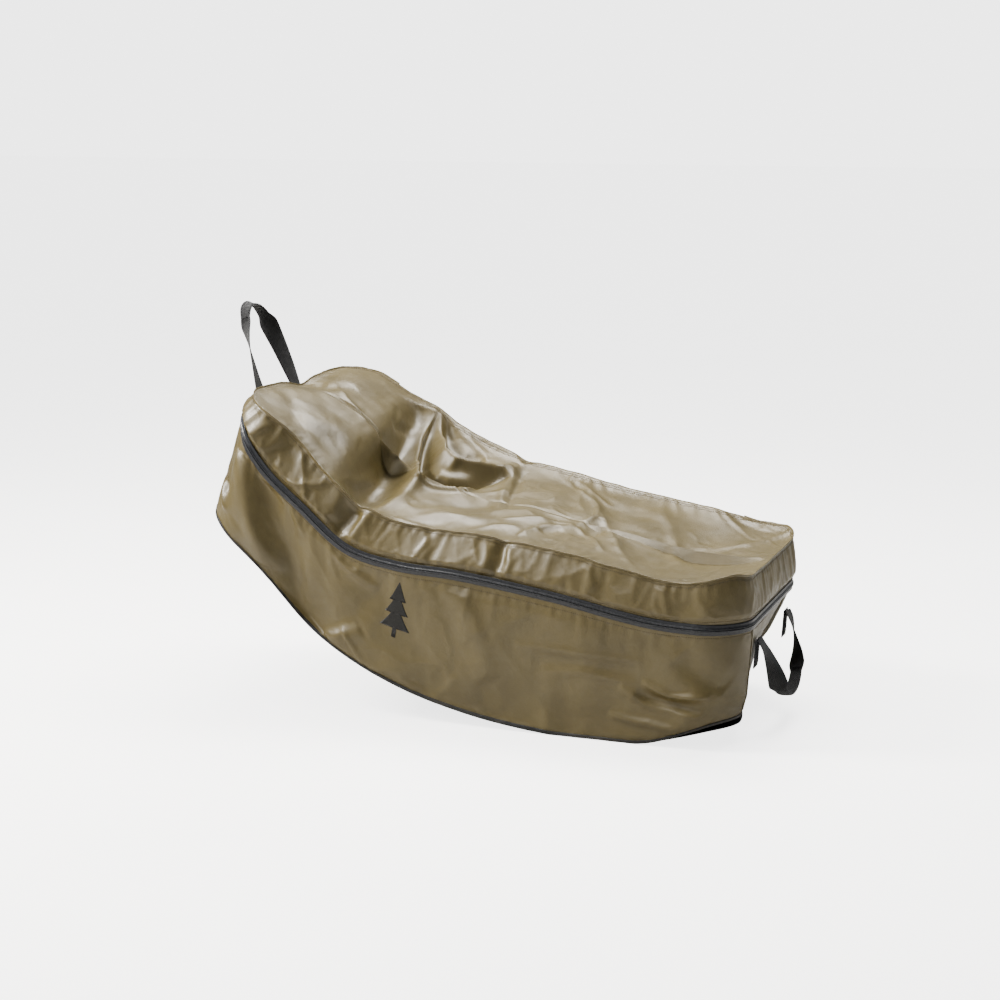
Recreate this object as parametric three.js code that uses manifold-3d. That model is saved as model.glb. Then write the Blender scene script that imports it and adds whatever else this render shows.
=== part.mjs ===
// Waterproof field gear bag: a long zipped bag of coated fabric with a U-shaped zip, a lid that
// turns back on its far edge, and a webbing carry handle on each end panel.
// It is modelled as it is dragged: the tail rests on the floor and the head end is lifted.
//
// Millimetres. +X points to the tail, +Z is up, -Y is the front side that the zip is seen on.
// The origin is on the floor, under the belly of the bag.
import * as THREE from 'three';
import Module from 'manifold-3d';
import { mergeVertices } from 'three/addons/utils/BufferGeometryUtils.js';

const wasm = await Module();
wasm.setup();

// ---- Driving dimensions -----------------------------------------------------------------

const BAG_LENGTH = 1120;       // run of the body along X
const TAIL_X = 640;            // X of the zip line at the tail end
const BAG_WIDTH = 540;         // across the side walls
const CORNER_RADIUS = 95;      // the four upright corners, in plan
const WALL_HEIGHT = 245;       // base edge to zip, at the tail
const LID_DEPTH = 100;         // zip to the lid's top edge, at the tail
const BELLY_SAG = 55;          // how far the base hangs below its own edges where they lift
const SAG_RUN = 120;           // from the head end to where the base hangs fully
const BELLY_FLAT = 0.5;        // share of the width that hangs down evenly
const SHEET = 2.4;             // coated fabric with its welded lining
const SEAM_GAP = 1.0;          // between two panels that meet at a welded seam
const GAP = 0.3;               // between two pieces that lie on each other

const ZIP_WIDTH = 22;          // both zip tapes together
const COIL_WIDTH = 4.4;        // both rows of zip teeth together
const COIL_PROUD = 0.6;        // how far the teeth stand out of the tape
const TAPE_THICKNESS = 1.2;    // zip tape, seam tape and binding
const ZIP_OVERRUN = 45;        // how far the zip runs past the two far corners
const CORNER_TAPE_WIDTH = 16;
const BINDING_WIDTH = 14;      // band round the foot of the walls
const BINDING_LIFT = 2.5;      // the binding's lower edge above the base edge
const RIM_SEAM_WIDTH = 9;      // doubled seam round the lid's top edge

const WEBBING_WIDTH = 40;
const WEBBING_THICKNESS = 2.4;
const ANCHOR_HEIGHT = 55;      // sewn-down foot of each handle strap
const ANCHOR_THICKNESS = 3;
const TAIL_ANCHOR_INSET = 42.5; // middle of each tail foot to the corner seam beside it
const HEAD_ANCHOR_SPACING = 165; // drawn together by the pull of the handle
const HEAD_HANDLE_SHIFT = -15;   // the pulled handle's middle, off the bag's centre line
const TAIL_ANCHOR_TOP = 200;   // top of the tail feet, measured up the end wall
const HEAD_ANCHOR_TOP = 178;   // top of the head feet, measured up the end wall

const SLIDER_LENGTH = 26;
const SLIDER_WIDTH = 15;
const SLIDER_THICKNESS = 5;
const SLIDER_CLEARANCE = 2;    // between the slider's back and the zip tape
const LUG_HEIGHT = 7;
const LUG_THICKNESS = 2;
const PIN_RADIUS = 1.1;
const PIN_CLEARANCE = 0.4;
const TAB_LENGTH = 44;
const TAB_WIDTH = 9;
const TAB_THICKNESS = 2;
const STOP_LENGTH = 8;
const STOP_CLEARANCE = 2.5;    // between a zip stop and the end of the tapes and teeth

// Side outlines of the bent bag, from the tail to the head: [share of BAG_LENGTH, rise].
// The base rises above the floor, the zip above WALL_HEIGHT, the lid above the two heights.
const BASE_EDGE = [[0.013, 0], [0.16, 0], [0.34, 0], [0.52, 28], [0.68, 85], [0.816, 175],
  [0.91, 290], [1.004, 422]];
const ZIP_NEAR = [[0, 0], [0.16, 5], [0.35, 43], [0.53, 71], [0.65, 81], [0.745, 108],
  [0.836, 189], [0.91, 263], [0.978, 375]];
const ZIP_FAR = [[0, 0], [0.16, 30], [0.35, 80], [0.53, 115], [0.65, 155], [0.73, 215],
  [0.81, 295], [0.875, 350], [0.946, 375]];
const LID_NEAR = [[0.004, 0], [0.16, -2], [0.35, 33], [0.53, 52], [0.64, 65], [0.72, 95],
  [0.80, 165], [0.88, 253], [0.96, 313]];
const LID_FAR = [[0.004, -5], [0.16, 33], [0.35, 70], [0.53, 115], [0.64, 155], [0.72, 200],
  [0.80, 255], [0.866, 295], [0.94, 310]];

const HINGE_DROP = 25;         // the lid's hinge line below the ends of its bent far edge

// ---- The bag's surface ------------------------------------------------------------------

function sideCurve(outline, level) {
  const points = outline.map(([share, rise]) =>
    new THREE.Vector3(TAIL_X - share * BAG_LENGTH, 0, level + rise));
  return new THREE.CatmullRomCurve3(points, false, 'centripetal');
}

const base = { near: sideCurve(BASE_EDGE, 0), far: sideCurve(BASE_EDGE, 0) };
const zip = { near: sideCurve(ZIP_NEAR, WALL_HEIGHT), far: sideCurve(ZIP_FAR, WALL_HEIGHT) };
const lid = {
  near: sideCurve(LID_NEAR, WALL_HEIGHT + LID_DEPTH),
  far: sideCurve(LID_FAR, WALL_HEIGHT + LID_DEPTH),
};
const EDGE_LENGTH = zip.near.getLength();
const HALF_WIDTH = BAG_WIDTH / 2;
const HALF_END = HALF_WIDTH - CORNER_RADIUS;

// The point at a distance along a side curve, straight on past both of its ends.
function alongCurve(curve, along) {
  const inside = THREE.MathUtils.clamp(along, 0, EDGE_LENGTH);
  const share = inside / EDGE_LENGTH;
  return curve.getPointAt(share).addScaledVector(curve.getTangentAt(share), along - inside);
}

// The point of a level at a distance along the bag from its tail end, and at a given Y.
function onLevel(level, { along, y }) {
  const point = alongCurve(level.near, along);
  point.lerp(alongCurve(level.far, along), THREE.MathUtils.clamp(y / BAG_WIDTH + 0.5, 0, 1));
  point.y = y;
  point.z = Math.max(point.z, 0);
  return point;
}

// The point a distance above the zip line, or below it where the distance is negative.
function fromZip(distance, place) {
  const start = onLevel(zip, place);
  const direction = onLevel(distance > 0 ? lid : base, place).sub(start).normalize();
  return start.addScaledVector(direction, Math.abs(distance));
}

function fromBase(distance, place) {
  const start = onLevel(base, place);
  return start.addScaledVector(onLevel(zip, place).sub(start).normalize(), distance);
}

function fromLid(distance, place) {
  const start = onLevel(lid, place);
  return start.addScaledVector(onLevel(zip, place).sub(start).normalize(), distance);
}

// The plan outline is a rounded rectangle in eight sections, taken clockwise from above.
const SECTION_LENGTH = {
  straightEnd: 2 * HALF_END,
  corner: CORNER_RADIUS * Math.PI / 2,
  side: EDGE_LENGTH - 2 * CORNER_RADIUS,
};
const SECTIONS = {
  tail: { length: SECTION_LENGTH.straightEnd, steps: 6 },
  tailNear: { length: SECTION_LENGTH.corner, steps: 6 },
  near: { length: SECTION_LENGTH.side, steps: 22 },
  headNear: { length: SECTION_LENGTH.corner, steps: 6 },
  head: { length: SECTION_LENGTH.straightEnd, steps: 6 },
  headFar: { length: SECTION_LENGTH.corner, steps: 6 },
  far: { length: SECTION_LENGTH.side, steps: 22 },
  tailFar: { length: SECTION_LENGTH.corner, steps: 6 },
};

function placeOn(section, share, inset) {
  const radius = CORNER_RADIUS - inset;
  const angle = share * Math.PI / 2;
  const headCentre = EDGE_LENGTH - CORNER_RADIUS;
  switch (section) {
    case 'tail':
      return { along: inset, y: HALF_END - share * 2 * HALF_END };
    case 'tailNear':
      return {
        along: CORNER_RADIUS - radius * Math.cos(angle),
        y: -HALF_END - radius * Math.sin(angle),
      };
    case 'near':
      return { along: CORNER_RADIUS + share * SECTIONS.near.length, y: inset - HALF_WIDTH };
    case 'headNear':
      return {
        along: headCentre + radius * Math.sin(angle),
        y: -HALF_END - radius * Math.cos(angle),
      };
    case 'head':
      return { along: EDGE_LENGTH - inset, y: share * 2 * HALF_END - HALF_END };
    case 'headFar':
      return {
        along: headCentre + radius * Math.cos(angle),
        y: HALF_END + radius * Math.sin(angle),
      };
    case 'far':
      return { along: headCentre - share * SECTIONS.far.length, y: HALF_WIDTH - inset };
    default:
      return {
        along: CORNER_RADIUS - radius * Math.sin(angle),
        y: HALF_END + radius * Math.cos(angle),
      };
  }
}

// Places along a run of sections, shortened by a trim at its start and at its end.
function runOf(names, { startTrim = 0, endTrim = 0, steps = 0 } = {}) {
  const places = [];
  names.forEach((name, index) => {
    const { length } = SECTIONS[name];
    const from = index === 0 ? startTrim / length : 0;
    const to = index === names.length - 1 ? 1 - endTrim / length : 1;
    const count = steps || Math.max(2, Math.ceil(SECTIONS[name].steps * (to - from)));
    for (let i = index === 0 ? 0 : 1; i <= count; i += 1) {
      const share = from + (to - from) * i / count;
      places.push((inset) => placeOn(name, share, inset));
    }
  });
  return places;
}

// ---- Solid builders ---------------------------------------------------------------------

// A closed solid between two matching grids of points, given as rows. A ring closes on itself.
function slab(outer, inner, ring = false) {
  const rows = outer.length;
  const columns = outer[0].length;
  const positions = [];
  const push = (...points) => points.forEach((p) => positions.push(p.x, p.y, p.z));
  const quad = (a, b, c, d) => {
    push(a, b, c);
    push(a, c, d);
  };
  const lastColumn = ring ? columns : columns - 1;
  for (let i = 0; i < lastColumn; i += 1) {
    const next = (i + 1) % columns;
    for (let j = 0; j + 1 < rows; j += 1) {
      quad(outer[j][i], outer[j][next], outer[j + 1][next], outer[j + 1][i]);
      quad(inner[j][next], inner[j][i], inner[j + 1][i], inner[j + 1][next]);
    }
    quad(inner[0][i], inner[0][next], outer[0][next], outer[0][i]);
    quad(outer[rows - 1][i], outer[rows - 1][next], inner[rows - 1][next], inner[rows - 1][i]);
  }
  if (!ring) {
    const last = columns - 1;
    for (let j = 0; j + 1 < rows; j += 1) {
      quad(inner[j][0], outer[j][0], outer[j + 1][0], inner[j + 1][0]);
      quad(outer[j][last], inner[j][last], inner[j + 1][last], outer[j + 1][last]);
    }
  }
  return facingOut(positions);
}

function facingOut(positions) {
  let volume = 0;
  for (let i = 0; i < positions.length; i += 9) {
    const [ax, ay, az, bx, by, bz, cx, cy, cz] = positions.slice(i, i + 9);
    volume += ax * (by * cz - bz * cy) + ay * (bz * cx - bx * cz) + az * (bx * cy - by * cx);
  }
  if (volume < 0) {
    for (let i = 0; i < positions.length; i += 9) {
      const second = positions.slice(i + 3, i + 6);
      positions.splice(i + 3, 3, ...positions.slice(i + 6, i + 9));
      positions.splice(i + 6, 3, ...second);
    }
  }
  const geometry = new THREE.BufferGeometry();
  geometry.setAttribute('position', new THREE.Float32BufferAttribute(positions, 3));
  geometry.computeVertexNormals();
  return geometry;
}

// A strip that follows the plan outline. Each row is a function from a place to a point.
function strip(places, rows, proud, thickness, ring = false) {
  const grid = (inset) => rows.map((row) => places.map((place) => row(place(inset))));
  return slab(grid(-proud), grid(thickness - proud), ring);
}

// A sheet over the plan, inset from the outline, between two heights. It covers the width
// from one share of the half width to another, which are -1 and 1 at the two sides.
function sheet(inset, lowerPoint, upperPoint, crossSteps, from = -1, to = 1) {
  const corner = runOf(['tailNear']).map((place) => place(inset));
  const side = runOf(['near']).map((place) => place(inset)).slice(1, -1);
  const columns = [
    ...corner,
    ...side,
    ...corner.map(({ along, y }) => ({ along: EDGE_LENGTH - along, y })).reverse(),
  ];
  const grid = (point) => Array.from({ length: crossSteps + 1 }, (_, j) =>
    columns.map(({ along, y }) => {
      const across = from + (to - from) * j / crossSteps;
      return point({ along, y: Math.abs(y) * across }, across);
    }));
  return slab(grid(upperPoint), grid(lowerPoint));
}

// A flat band swept along hand-placed points, with its width turned to follow a second list.
function ribbon(points, widths, width, thickness, steps) {
  const vector = (list) => list.map(([x, y, z]) => new THREE.Vector3(x, y, z));
  const spine = new THREE.CatmullRomCurve3(vector(points));
  const turn = new THREE.CatmullRomCurve3(vector(widths));
  const sides = [[], [], [], []];
  for (let i = 0; i <= steps; i += 1) {
    const share = i / steps;
    const centre = spine.getPoint(share);
    const forward = spine.getTangent(share);
    const across = turn.getPoint(share);
    across.addScaledVector(forward, -across.dot(forward)).normalize();
    const normal = new THREE.Vector3().crossVectors(forward, across);
    [[1, 1], [-1, 1], [-1, -1], [1, -1]].forEach(([a, b], index) => {
      sides[index].push(centre.clone()
        .addScaledVector(across, a * width / 2)
        .addScaledVector(normal, b * thickness / 2));
    });
  }
  return slab([sides[0], sides[1]], [sides[3], sides[2]]);
}

function roundedRectangle(width, height, radius) {
  const shape = new THREE.Shape();
  const x = width / 2;
  const y = height / 2;
  shape.moveTo(radius - x, -y);
  shape.lineTo(x - radius, -y);
  shape.absarc(x - radius, radius - y, radius, -Math.PI / 2, 0);
  shape.absarc(x - radius, y - radius, radius, 0, Math.PI / 2);
  shape.absarc(radius - x, y - radius, radius, Math.PI / 2, Math.PI);
  shape.absarc(radius - x, radius - y, radius, Math.PI, 1.5 * Math.PI);
  return shape;
}

function plate(shape, thickness) {
  return new THREE.ExtrudeGeometry(shape, {
    depth: thickness, bevelEnabled: false, curveSegments: 5,
  });
}

function toManifold(geometry) {
  const bare = geometry.clone();
  bare.deleteAttribute('normal');
  bare.deleteAttribute('uv');
  const merged = mergeVertices(bare, 1e-4);
  return new wasm.Manifold(new wasm.Mesh({
    numProp: 3,
    vertProperties: new Float32Array(merged.attributes.position.array),
    triVerts: new Uint32Array(merged.index.array),
  }));
}

function joined(geometries) {
  const solid = geometries.map(toManifold).reduce((whole, next) => whole.add(next));
  const { vertProperties, triVerts } = solid.getMesh();
  const geometry = new THREE.BufferGeometry();
  geometry.setAttribute('position', new THREE.BufferAttribute(vertProperties, 3));
  geometry.setIndex(new THREE.BufferAttribute(triVerts, 1));
  geometry.computeVertexNormals();
  return geometry;
}

// ---- Materials --------------------------------------------------------------------------

function finish(color, roughness, metalness = 0) {
  return new THREE.MeshStandardMaterial({ color, roughness, metalness });
}

const coatedFabric = finish(0x605536, 0.42);
const seamTape = finish(0x5b5134, 0.5);
const baseFabric = finish(0x1d1d1c, 0.6);
const zipRubber = finish(0x23252a, 0.4);
const webbing = finish(0x161617, 0.85);
const zipMetal = finish(0x2b2b2e, 0.35, 0.6);

// ---- Panels -----------------------------------------------------------------------------

const bag = new THREE.Group();

function add(name, geometry, material, parent = bag) {
  const mesh = new THREE.Mesh(geometry, material);
  mesh.name = name;
  parent.add(mesh);
  return mesh;
}

const wallTop = -(ZIP_WIDTH / 2 + GAP);
const wallRows = [
  (place) => onLevel(base, place),
  (place) => onLevel(base, place).lerp(fromZip(wallTop, place), 0.5),
  (place) => fromZip(wallTop, place),
];
const halfSeam = { startTrim: SEAM_GAP / 2, endTrim: SEAM_GAP / 2 };

function buildWalls() {
  const wall = (names) => strip(runOf(names, halfSeam), wallRows, 0, SHEET);
  add('front_wall', wall(['tailNear', 'near', 'headNear']), coatedFabric);
  add('back_wall', wall(['headFar', 'far', 'tailFar']), coatedFabric);
  add('head_end_wall', wall(['head']), coatedFabric);
  add('tail_end_wall', wall(['tail']), coatedFabric);
}

// The base hangs below its edges in the middle, and lies flat where it meets the floor.
function buildBase() {
  const inset = SHEET + SEAM_GAP;
  const lower = (place, across) => {
    const point = onLevel(base, place);
    const rim = Math.max(0, Math.abs(across) - BELLY_FLAT) / (1 - BELLY_FLAT);
    const end = THREE.MathUtils.smoothstep(EDGE_LENGTH - place.along, 0, SAG_RUN);
    point.z -= Math.min(point.z, BELLY_SAG) * (1 - rim ** 2) * end;
    return point;
  };
  const upper = (place, across) => {
    const point = lower(place, across);
    point.z += SHEET;
    return point;
  };
  const seam = SEAM_GAP / (2 * HALF_END);
  [
    ['near', -1, -BELLY_FLAT - seam],
    ['middle', -BELLY_FLAT + seam, BELLY_FLAT - seam],
    ['far', BELLY_FLAT + seam, 1],
  ].forEach(([name, from, to]) => {
    add(`base_panel_${name}`, sheet(inset, lower, upper, 4, from, to), baseFabric);
  });

  const allRound = Object.keys(SECTIONS);
  const places = runOf(allRound).slice(0, -1);
  const rows = [
    (place) => fromBase(BINDING_LIFT, place),
    (place) => fromBase(BINDING_LIFT + BINDING_WIDTH, place),
  ];
  const proud = GAP + TAPE_THICKNESS;
  add('base_binding', strip(places, rows, proud, TAPE_THICKNESS, true), baseFabric);
}

// A welded tape covers the upright seam at each end of each end wall.
function buildCornerTapes() {
  const rows = [
    (place) => fromBase(BINDING_LIFT + BINDING_WIDTH + SEAM_GAP, place),
    (place) => onLevel(base, place).lerp(onLevel(zip, place), 0.5),
    (place) => fromZip(wallTop - SEAM_GAP, place),
  ];
  const pairs = {
    corner_tape_tail_near: ['tail', 'tailNear'],
    corner_tape_head_near: ['headNear', 'head'],
    corner_tape_head_far: ['head', 'headFar'],
    corner_tape_tail_far: ['tailFar', 'tail'],
  };
  Object.entries(pairs).forEach(([name, pair]) => {
    const places = runOf(pair, {
      startTrim: SECTIONS[pair[0]].length - CORNER_TAPE_WIDTH / 2,
      endTrim: SECTIONS[pair[1]].length - CORNER_TAPE_WIDTH / 2,
      steps: 2,
    });
    add(name, strip(places, rows, GAP + TAPE_THICKNESS, TAPE_THICKNESS), seamTape);
  });
}

// ---- Zip --------------------------------------------------------------------------------

// The zip runs from the far side round the tail, the front and the head to the far side again.
const zipSections = ['far', 'tailFar', 'tail', 'tailNear', 'near', 'headNear', 'head',
  'headFar', 'far'];
const zipTrim = SECTIONS.far.length - ZIP_OVERRUN;
const zipRun = runOf(zipSections, { startTrim: zipTrim, endTrim: zipTrim });

function buildZip(lidGroup) {
  const half = ZIP_WIDTH / 2;
  const coil = COIL_WIDTH / 2;
  const band = (from, to) => [(place) => fromZip(from, place), (place) => fromZip(to, place)];
  const tape = (rows) => strip(zipRun, rows, 0, TAPE_THICKNESS);
  const teeth = (rows) => strip(zipRun, rows, COIL_PROUD, TAPE_THICKNESS + COIL_PROUD);
  add('zip_tape_lower', tape(band(-half, -coil - GAP)), zipRubber);
  add('zip_coil_lower', teeth(band(-coil, -GAP / 2)), zipRubber);
  add('zip_coil_upper', teeth(band(GAP / 2, coil)), zipRubber, lidGroup);
  add('zip_tape_upper', tape(band(coil + GAP, half)), zipRubber, lidGroup);

  const stopRows = band(-half, half);
  const stop = (startTrim, endTrim) => {
    const places = runOf(['far'], { startTrim, endTrim, steps: 2 });
    return strip(places, stopRows, 0, TAPE_THICKNESS);
  };
  const before = ZIP_OVERRUN + STOP_CLEARANCE;
  const after = SECTIONS.far.length - before - STOP_LENGTH;
  add('zip_stop_head', stop(before, after), zipRubber);
  add('zip_stop_tail', stop(after, before), zipRubber);
}

// ---- Lid --------------------------------------------------------------------------------

function buildLid(lidGroup) {
  const bandFoot = ZIP_WIDTH / 2 + GAP;
  const rows = [
    (place) => fromZip(bandFoot, place),
    (place) => fromZip(bandFoot, place).lerp(onLevel(lid, place), 0.5),
    (place) => onLevel(lid, place),
  ];
  const farTrim = SECTIONS.far.length - ZIP_OVERRUN;
  const band = (names, trims) => strip(runOf(names, trims), rows, 0, SHEET);
  add('lid_front_band', band(['tailNear', 'near', 'headNear'], halfSeam), coatedFabric, lidGroup);
  add('lid_head_band', band(['head', 'headFar', 'far'],
    { startTrim: SEAM_GAP / 2, endTrim: farTrim }), coatedFabric, lidGroup);
  add('lid_tail_band', band(['far', 'tailFar', 'tail'],
    { startTrim: farTrim, endTrim: SEAM_GAP / 2 }), coatedFabric, lidGroup);

  const inset = SHEET + SEAM_GAP;
  const upper = (place) => onLevel(lid, place);
  const lower = (place) => {
    const point = onLevel(lid, place);
    point.z -= SHEET;
    return point;
  };
  add('lid_top_panel', sheet(inset, lower, upper, 6), coatedFabric, lidGroup);

  const seamRows = [
    (place) => fromLid(RIM_SEAM_WIDTH, place),
    (place) => fromLid(0, place),
  ];
  const seamRun = runOf(zipSections.slice(1, -1), { startTrim: SEAM_GAP, endTrim: SEAM_GAP });
  const proud = GAP + TAPE_THICKNESS;
  add('lid_rim_seam', strip(seamRun, seamRows, proud, TAPE_THICKNESS), seamTape, lidGroup);
}

// The strip of fabric between the ends of the zip carries the lid: it is the hinge.
function buildHingeStrip() {
  const trim = ZIP_OVERRUN + STOP_LENGTH + 2 * STOP_CLEARANCE;
  const places = runOf(['far'], { startTrim: trim, endTrim: trim });
  const foot = SEAM_GAP - ZIP_WIDTH / 2;
  const rows = [
    (place) => fromZip(foot, place),
    (place) => fromZip(foot, place).lerp(onLevel(lid, place), 0.5),
    (place) => fromLid(SHEET + SEAM_GAP, place),
  ];
  add('lid_hinge_strip', strip(places, rows, 0, SHEET), coatedFabric);
}

function lidHinge() {
  const tailEnd = onLevel(lid, { along: 0, y: HALF_WIDTH });
  const headEnd = onLevel(lid, { along: EDGE_LENGTH, y: HALF_WIDTH });
  tailEnd.z -= HINGE_DROP;
  headEnd.z -= HINGE_DROP;
  return { position: tailEnd, axis: tailEnd.clone().sub(headEnd).normalize() };
}

// ---- Zip slider -------------------------------------------------------------------------

// The slider is parked where the zip rounds the far corner of the head end.
function sliderFrame() {
  const place = { along: EDGE_LENGTH - CORNER_RADIUS, y: HALF_WIDTH };
  const origin = onLevel(zip, place);
  const centre = onLevel(zip, { ...place, y: HALF_END });
  const ahead = onLevel(zip, { along: place.along + CORNER_RADIUS, y: HALF_END });
  const out = origin.clone().sub(centre).normalize();
  const side = ahead.sub(centre).normalize();
  const up = new THREE.Vector3().crossVectors(out, side).normalize();
  const basis = new THREE.Matrix4().makeBasis(side, up, out);
  return { origin, centre, up, side, basis };
}

function buildSlider() {
  const { origin, centre, up, side, basis } = sliderFrame();
  const slider = new THREE.Group();
  slider.position.copy(origin);
  slider.quaternion.setFromRotationMatrix(basis);
  bag.add(slider);

  const back = SLIDER_CLEARANCE;
  const front = back + SLIDER_THICKNESS;
  const pinOut = front + LUG_HEIGHT - LUG_THICKNESS;
  const lugInside = TAB_WIDTH / 2 + PIN_CLEARANCE;
  const body = plate(roundedRectangle(SLIDER_LENGTH, SLIDER_WIDTH, SLIDER_WIDTH / 3),
    SLIDER_THICKNESS);
  body.translate(0, 0, back);
  const lugs = [-1, 1].map((end) => {
    const lug = new THREE.BoxGeometry(LUG_THICKNESS, SLIDER_WIDTH / 2, LUG_HEIGHT + 1);
    lug.translate(end * (lugInside + LUG_THICKNESS / 2), 0, front + LUG_HEIGHT / 2 - 0.5);
    return lug;
  });
  const pin = new THREE.CylinderGeometry(PIN_RADIUS, PIN_RADIUS,
    2 * lugInside + LUG_THICKNESS, 12);
  pin.rotateZ(Math.PI / 2);
  pin.translate(0, 0, pinOut);
  add('zip_slider', joined([body, ...lugs, pin]), zipMetal, slider);

  const outline = roundedRectangle(TAB_THICKNESS * 2.6, TAB_LENGTH, TAB_THICKNESS);
  const eye = new THREE.Path();
  const eyeUp = TAB_LENGTH / 2 - TAB_THICKNESS * 1.3;
  eye.absarc(0, eyeUp, PIN_RADIUS + PIN_CLEARANCE, 0, 2 * Math.PI, true);
  outline.holes.push(eye);
  const tab = plate(outline, TAB_WIDTH);
  tab.translate(0, -eyeUp, -TAB_WIDTH / 2);
  tab.rotateY(Math.PI / 2);
  const tabMesh = add('zip_pull_tab', tab, webbing, slider);
  tabMesh.position.set(0, 0, pinOut);
  return { centre, up, side, pinOut, slider };
}

// ---- Handles ----------------------------------------------------------------------------

// A frame on an end wall's outer face: X along the wall, Y up it, Z out of it.
function endWallFrame(along, y, height, outward) {
  const place = { along, y };
  const origin = fromBase(height, place);
  const near = fromBase(height, { along, y: y - 50 });
  const far = fromBase(height, { along, y: y + 50 });
  const side = far.sub(near).normalize().multiplyScalar(outward);
  const up = onLevel(zip, place).sub(onLevel(base, place)).normalize();
  const out = new THREE.Vector3().crossVectors(side, up).normalize();
  up.crossVectors(out, side);
  return { origin, basis: new THREE.Matrix4().makeBasis(side, up, out) };
}

function placeIn(mesh, { origin, basis }) {
  mesh.position.copy(origin);
  mesh.quaternion.setFromRotationMatrix(basis);
}

// The strap's first point, above its foot and out of the wall.
const HANDLE_RISE = 3.4;
const HANDLE_STAND_OFF = 2 * GAP + ANCHOR_THICKNESS + SEAM_GAP + WEBBING_THICKNESS / 2;

// Mirrors a list of points that runs from one foot to the middle of the handle.
function mirrored(half) {
  return [...half, ...half.slice(0, -1).reverse().map(([x, y, z]) => [-x, y, z])];
}

function buildHandle(name, { along, outward, middle, anchorTop, spacing, spine, widths }) {
  const frame = endWallFrame(along, middle, anchorTop, outward);
  const lift = new THREE.Vector3(0, HANDLE_RISE, HANDLE_STAND_OFF).applyMatrix4(frame.basis);
  const pivot = { origin: frame.origin.clone().add(lift), basis: frame.basis };
  const half = spine.map(([x, y, z]) => [x * spacing / 2, y, z]);
  const strap = ribbon(mirrored(half), mirrored(widths), WEBBING_WIDTH, WEBBING_THICKNESS, 36);
  placeIn(add(`${name}_handle`, strap, webbing), pivot);

  [['near', -1], ['far', 1]].forEach(([label, sign]) => {
    const patch = plate(roundedRectangle(WEBBING_WIDTH + 2, ANCHOR_HEIGHT, 2), ANCHOR_THICKNESS);
    const y = middle + sign * spacing / 2;
    const place = endWallFrame(along, y, anchorTop - ANCHOR_HEIGHT / 2, outward);
    patch.translate(0, 0, 2 * GAP);
    placeIn(add(`${name}_handle_foot_${label}`, patch, webbing), place);
  });
  return pivot;
}

// Handle routes from a foot to the middle: [share of half the spacing, up, out of the wall].
const HEAD_SPINE = [[-1, 0, 0], [-0.98, 20, 12], [-0.88, 70, 44], [-0.72, 125, 80],
  [-0.52, 168, 108], [-0.28, 190, 122], [0, 196, 126]];
const HEAD_WIDTHS = [[1, 0, 0], [1, 0, 0], [0.95, 0, 0.3], [0.8, 0, 0.6], [0.4, -0.1, 0.9],
  [0.1, -0.1, 1], [0, 0, 1]];
const TAIL_SPINE = [[-1, 0, 0], [-0.98, -12, 9], [-0.93, -34, 20], [-0.80, -76, 32],
  [-0.60, -112, 40], [-0.32, -132, 44], [0, -138, 45]];
const TAIL_WIDTHS = [[1, 0, 0], [1, 0, 0], [0.97, 0, 0.2], [0.8, 0, 0.6], [0.4, 0.1, 0.9],
  [0.1, 0.1, 1], [0, 0, 1]];

// ---- Assembly ---------------------------------------------------------------------------

const lidGroup = new THREE.Group();
bag.add(lidGroup);
buildWalls();
buildBase();
buildCornerTapes();
buildHingeStrip();
buildZip(lidGroup);
buildLid(lidGroup);
const sliderPlace = buildSlider();
const headPivot = buildHandle('head', {
  along: EDGE_LENGTH, outward: -1, middle: HEAD_HANDLE_SHIFT,
  anchorTop: HEAD_ANCHOR_TOP, spacing: HEAD_ANCHOR_SPACING,
  spine: HEAD_SPINE, widths: HEAD_WIDTHS,
});
const tailPivot = buildHandle('tail', {
  along: 0, outward: 1, middle: 0,
  anchorTop: TAIL_ANCHOR_TOP, spacing: 2 * (HALF_END - TAIL_ANCHOR_INSET),
  spine: TAIL_SPINE, widths: TAIL_WIDTHS,
});

// Joint axes in the bag's own frame, for whoever assembles the moving parts.
const firstAxis = (basis) => new THREE.Vector3().setFromMatrixColumn(basis, 0);
const pinCentre = new THREE.Vector3(0, 0, sliderPlace.pinOut)
  .applyQuaternion(sliderPlace.slider.quaternion).add(sliderPlace.slider.position);
bag.userData.axes = {
  lid: lidHinge(),
  slider: { position: sliderPlace.centre, axis: sliderPlace.up },
  pullTab: { position: pinCentre, axis: sliderPlace.side },
  headHandle: { position: headPivot.origin, axis: firstAxis(headPivot.basis) },
  tailHandle: { position: tailPivot.origin, axis: firstAxis(tailPivot.basis) },
};

export default bag;
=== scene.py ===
"""The looks of a waterproof gear bag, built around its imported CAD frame. Lengths are in metres.

The CAD's shape is repeated here as functions of two fabric coordinates: how far a point is
along the bag from its tail end, and its Y. Folds, sag and puckers are then laid over it.
"""

import math

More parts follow.
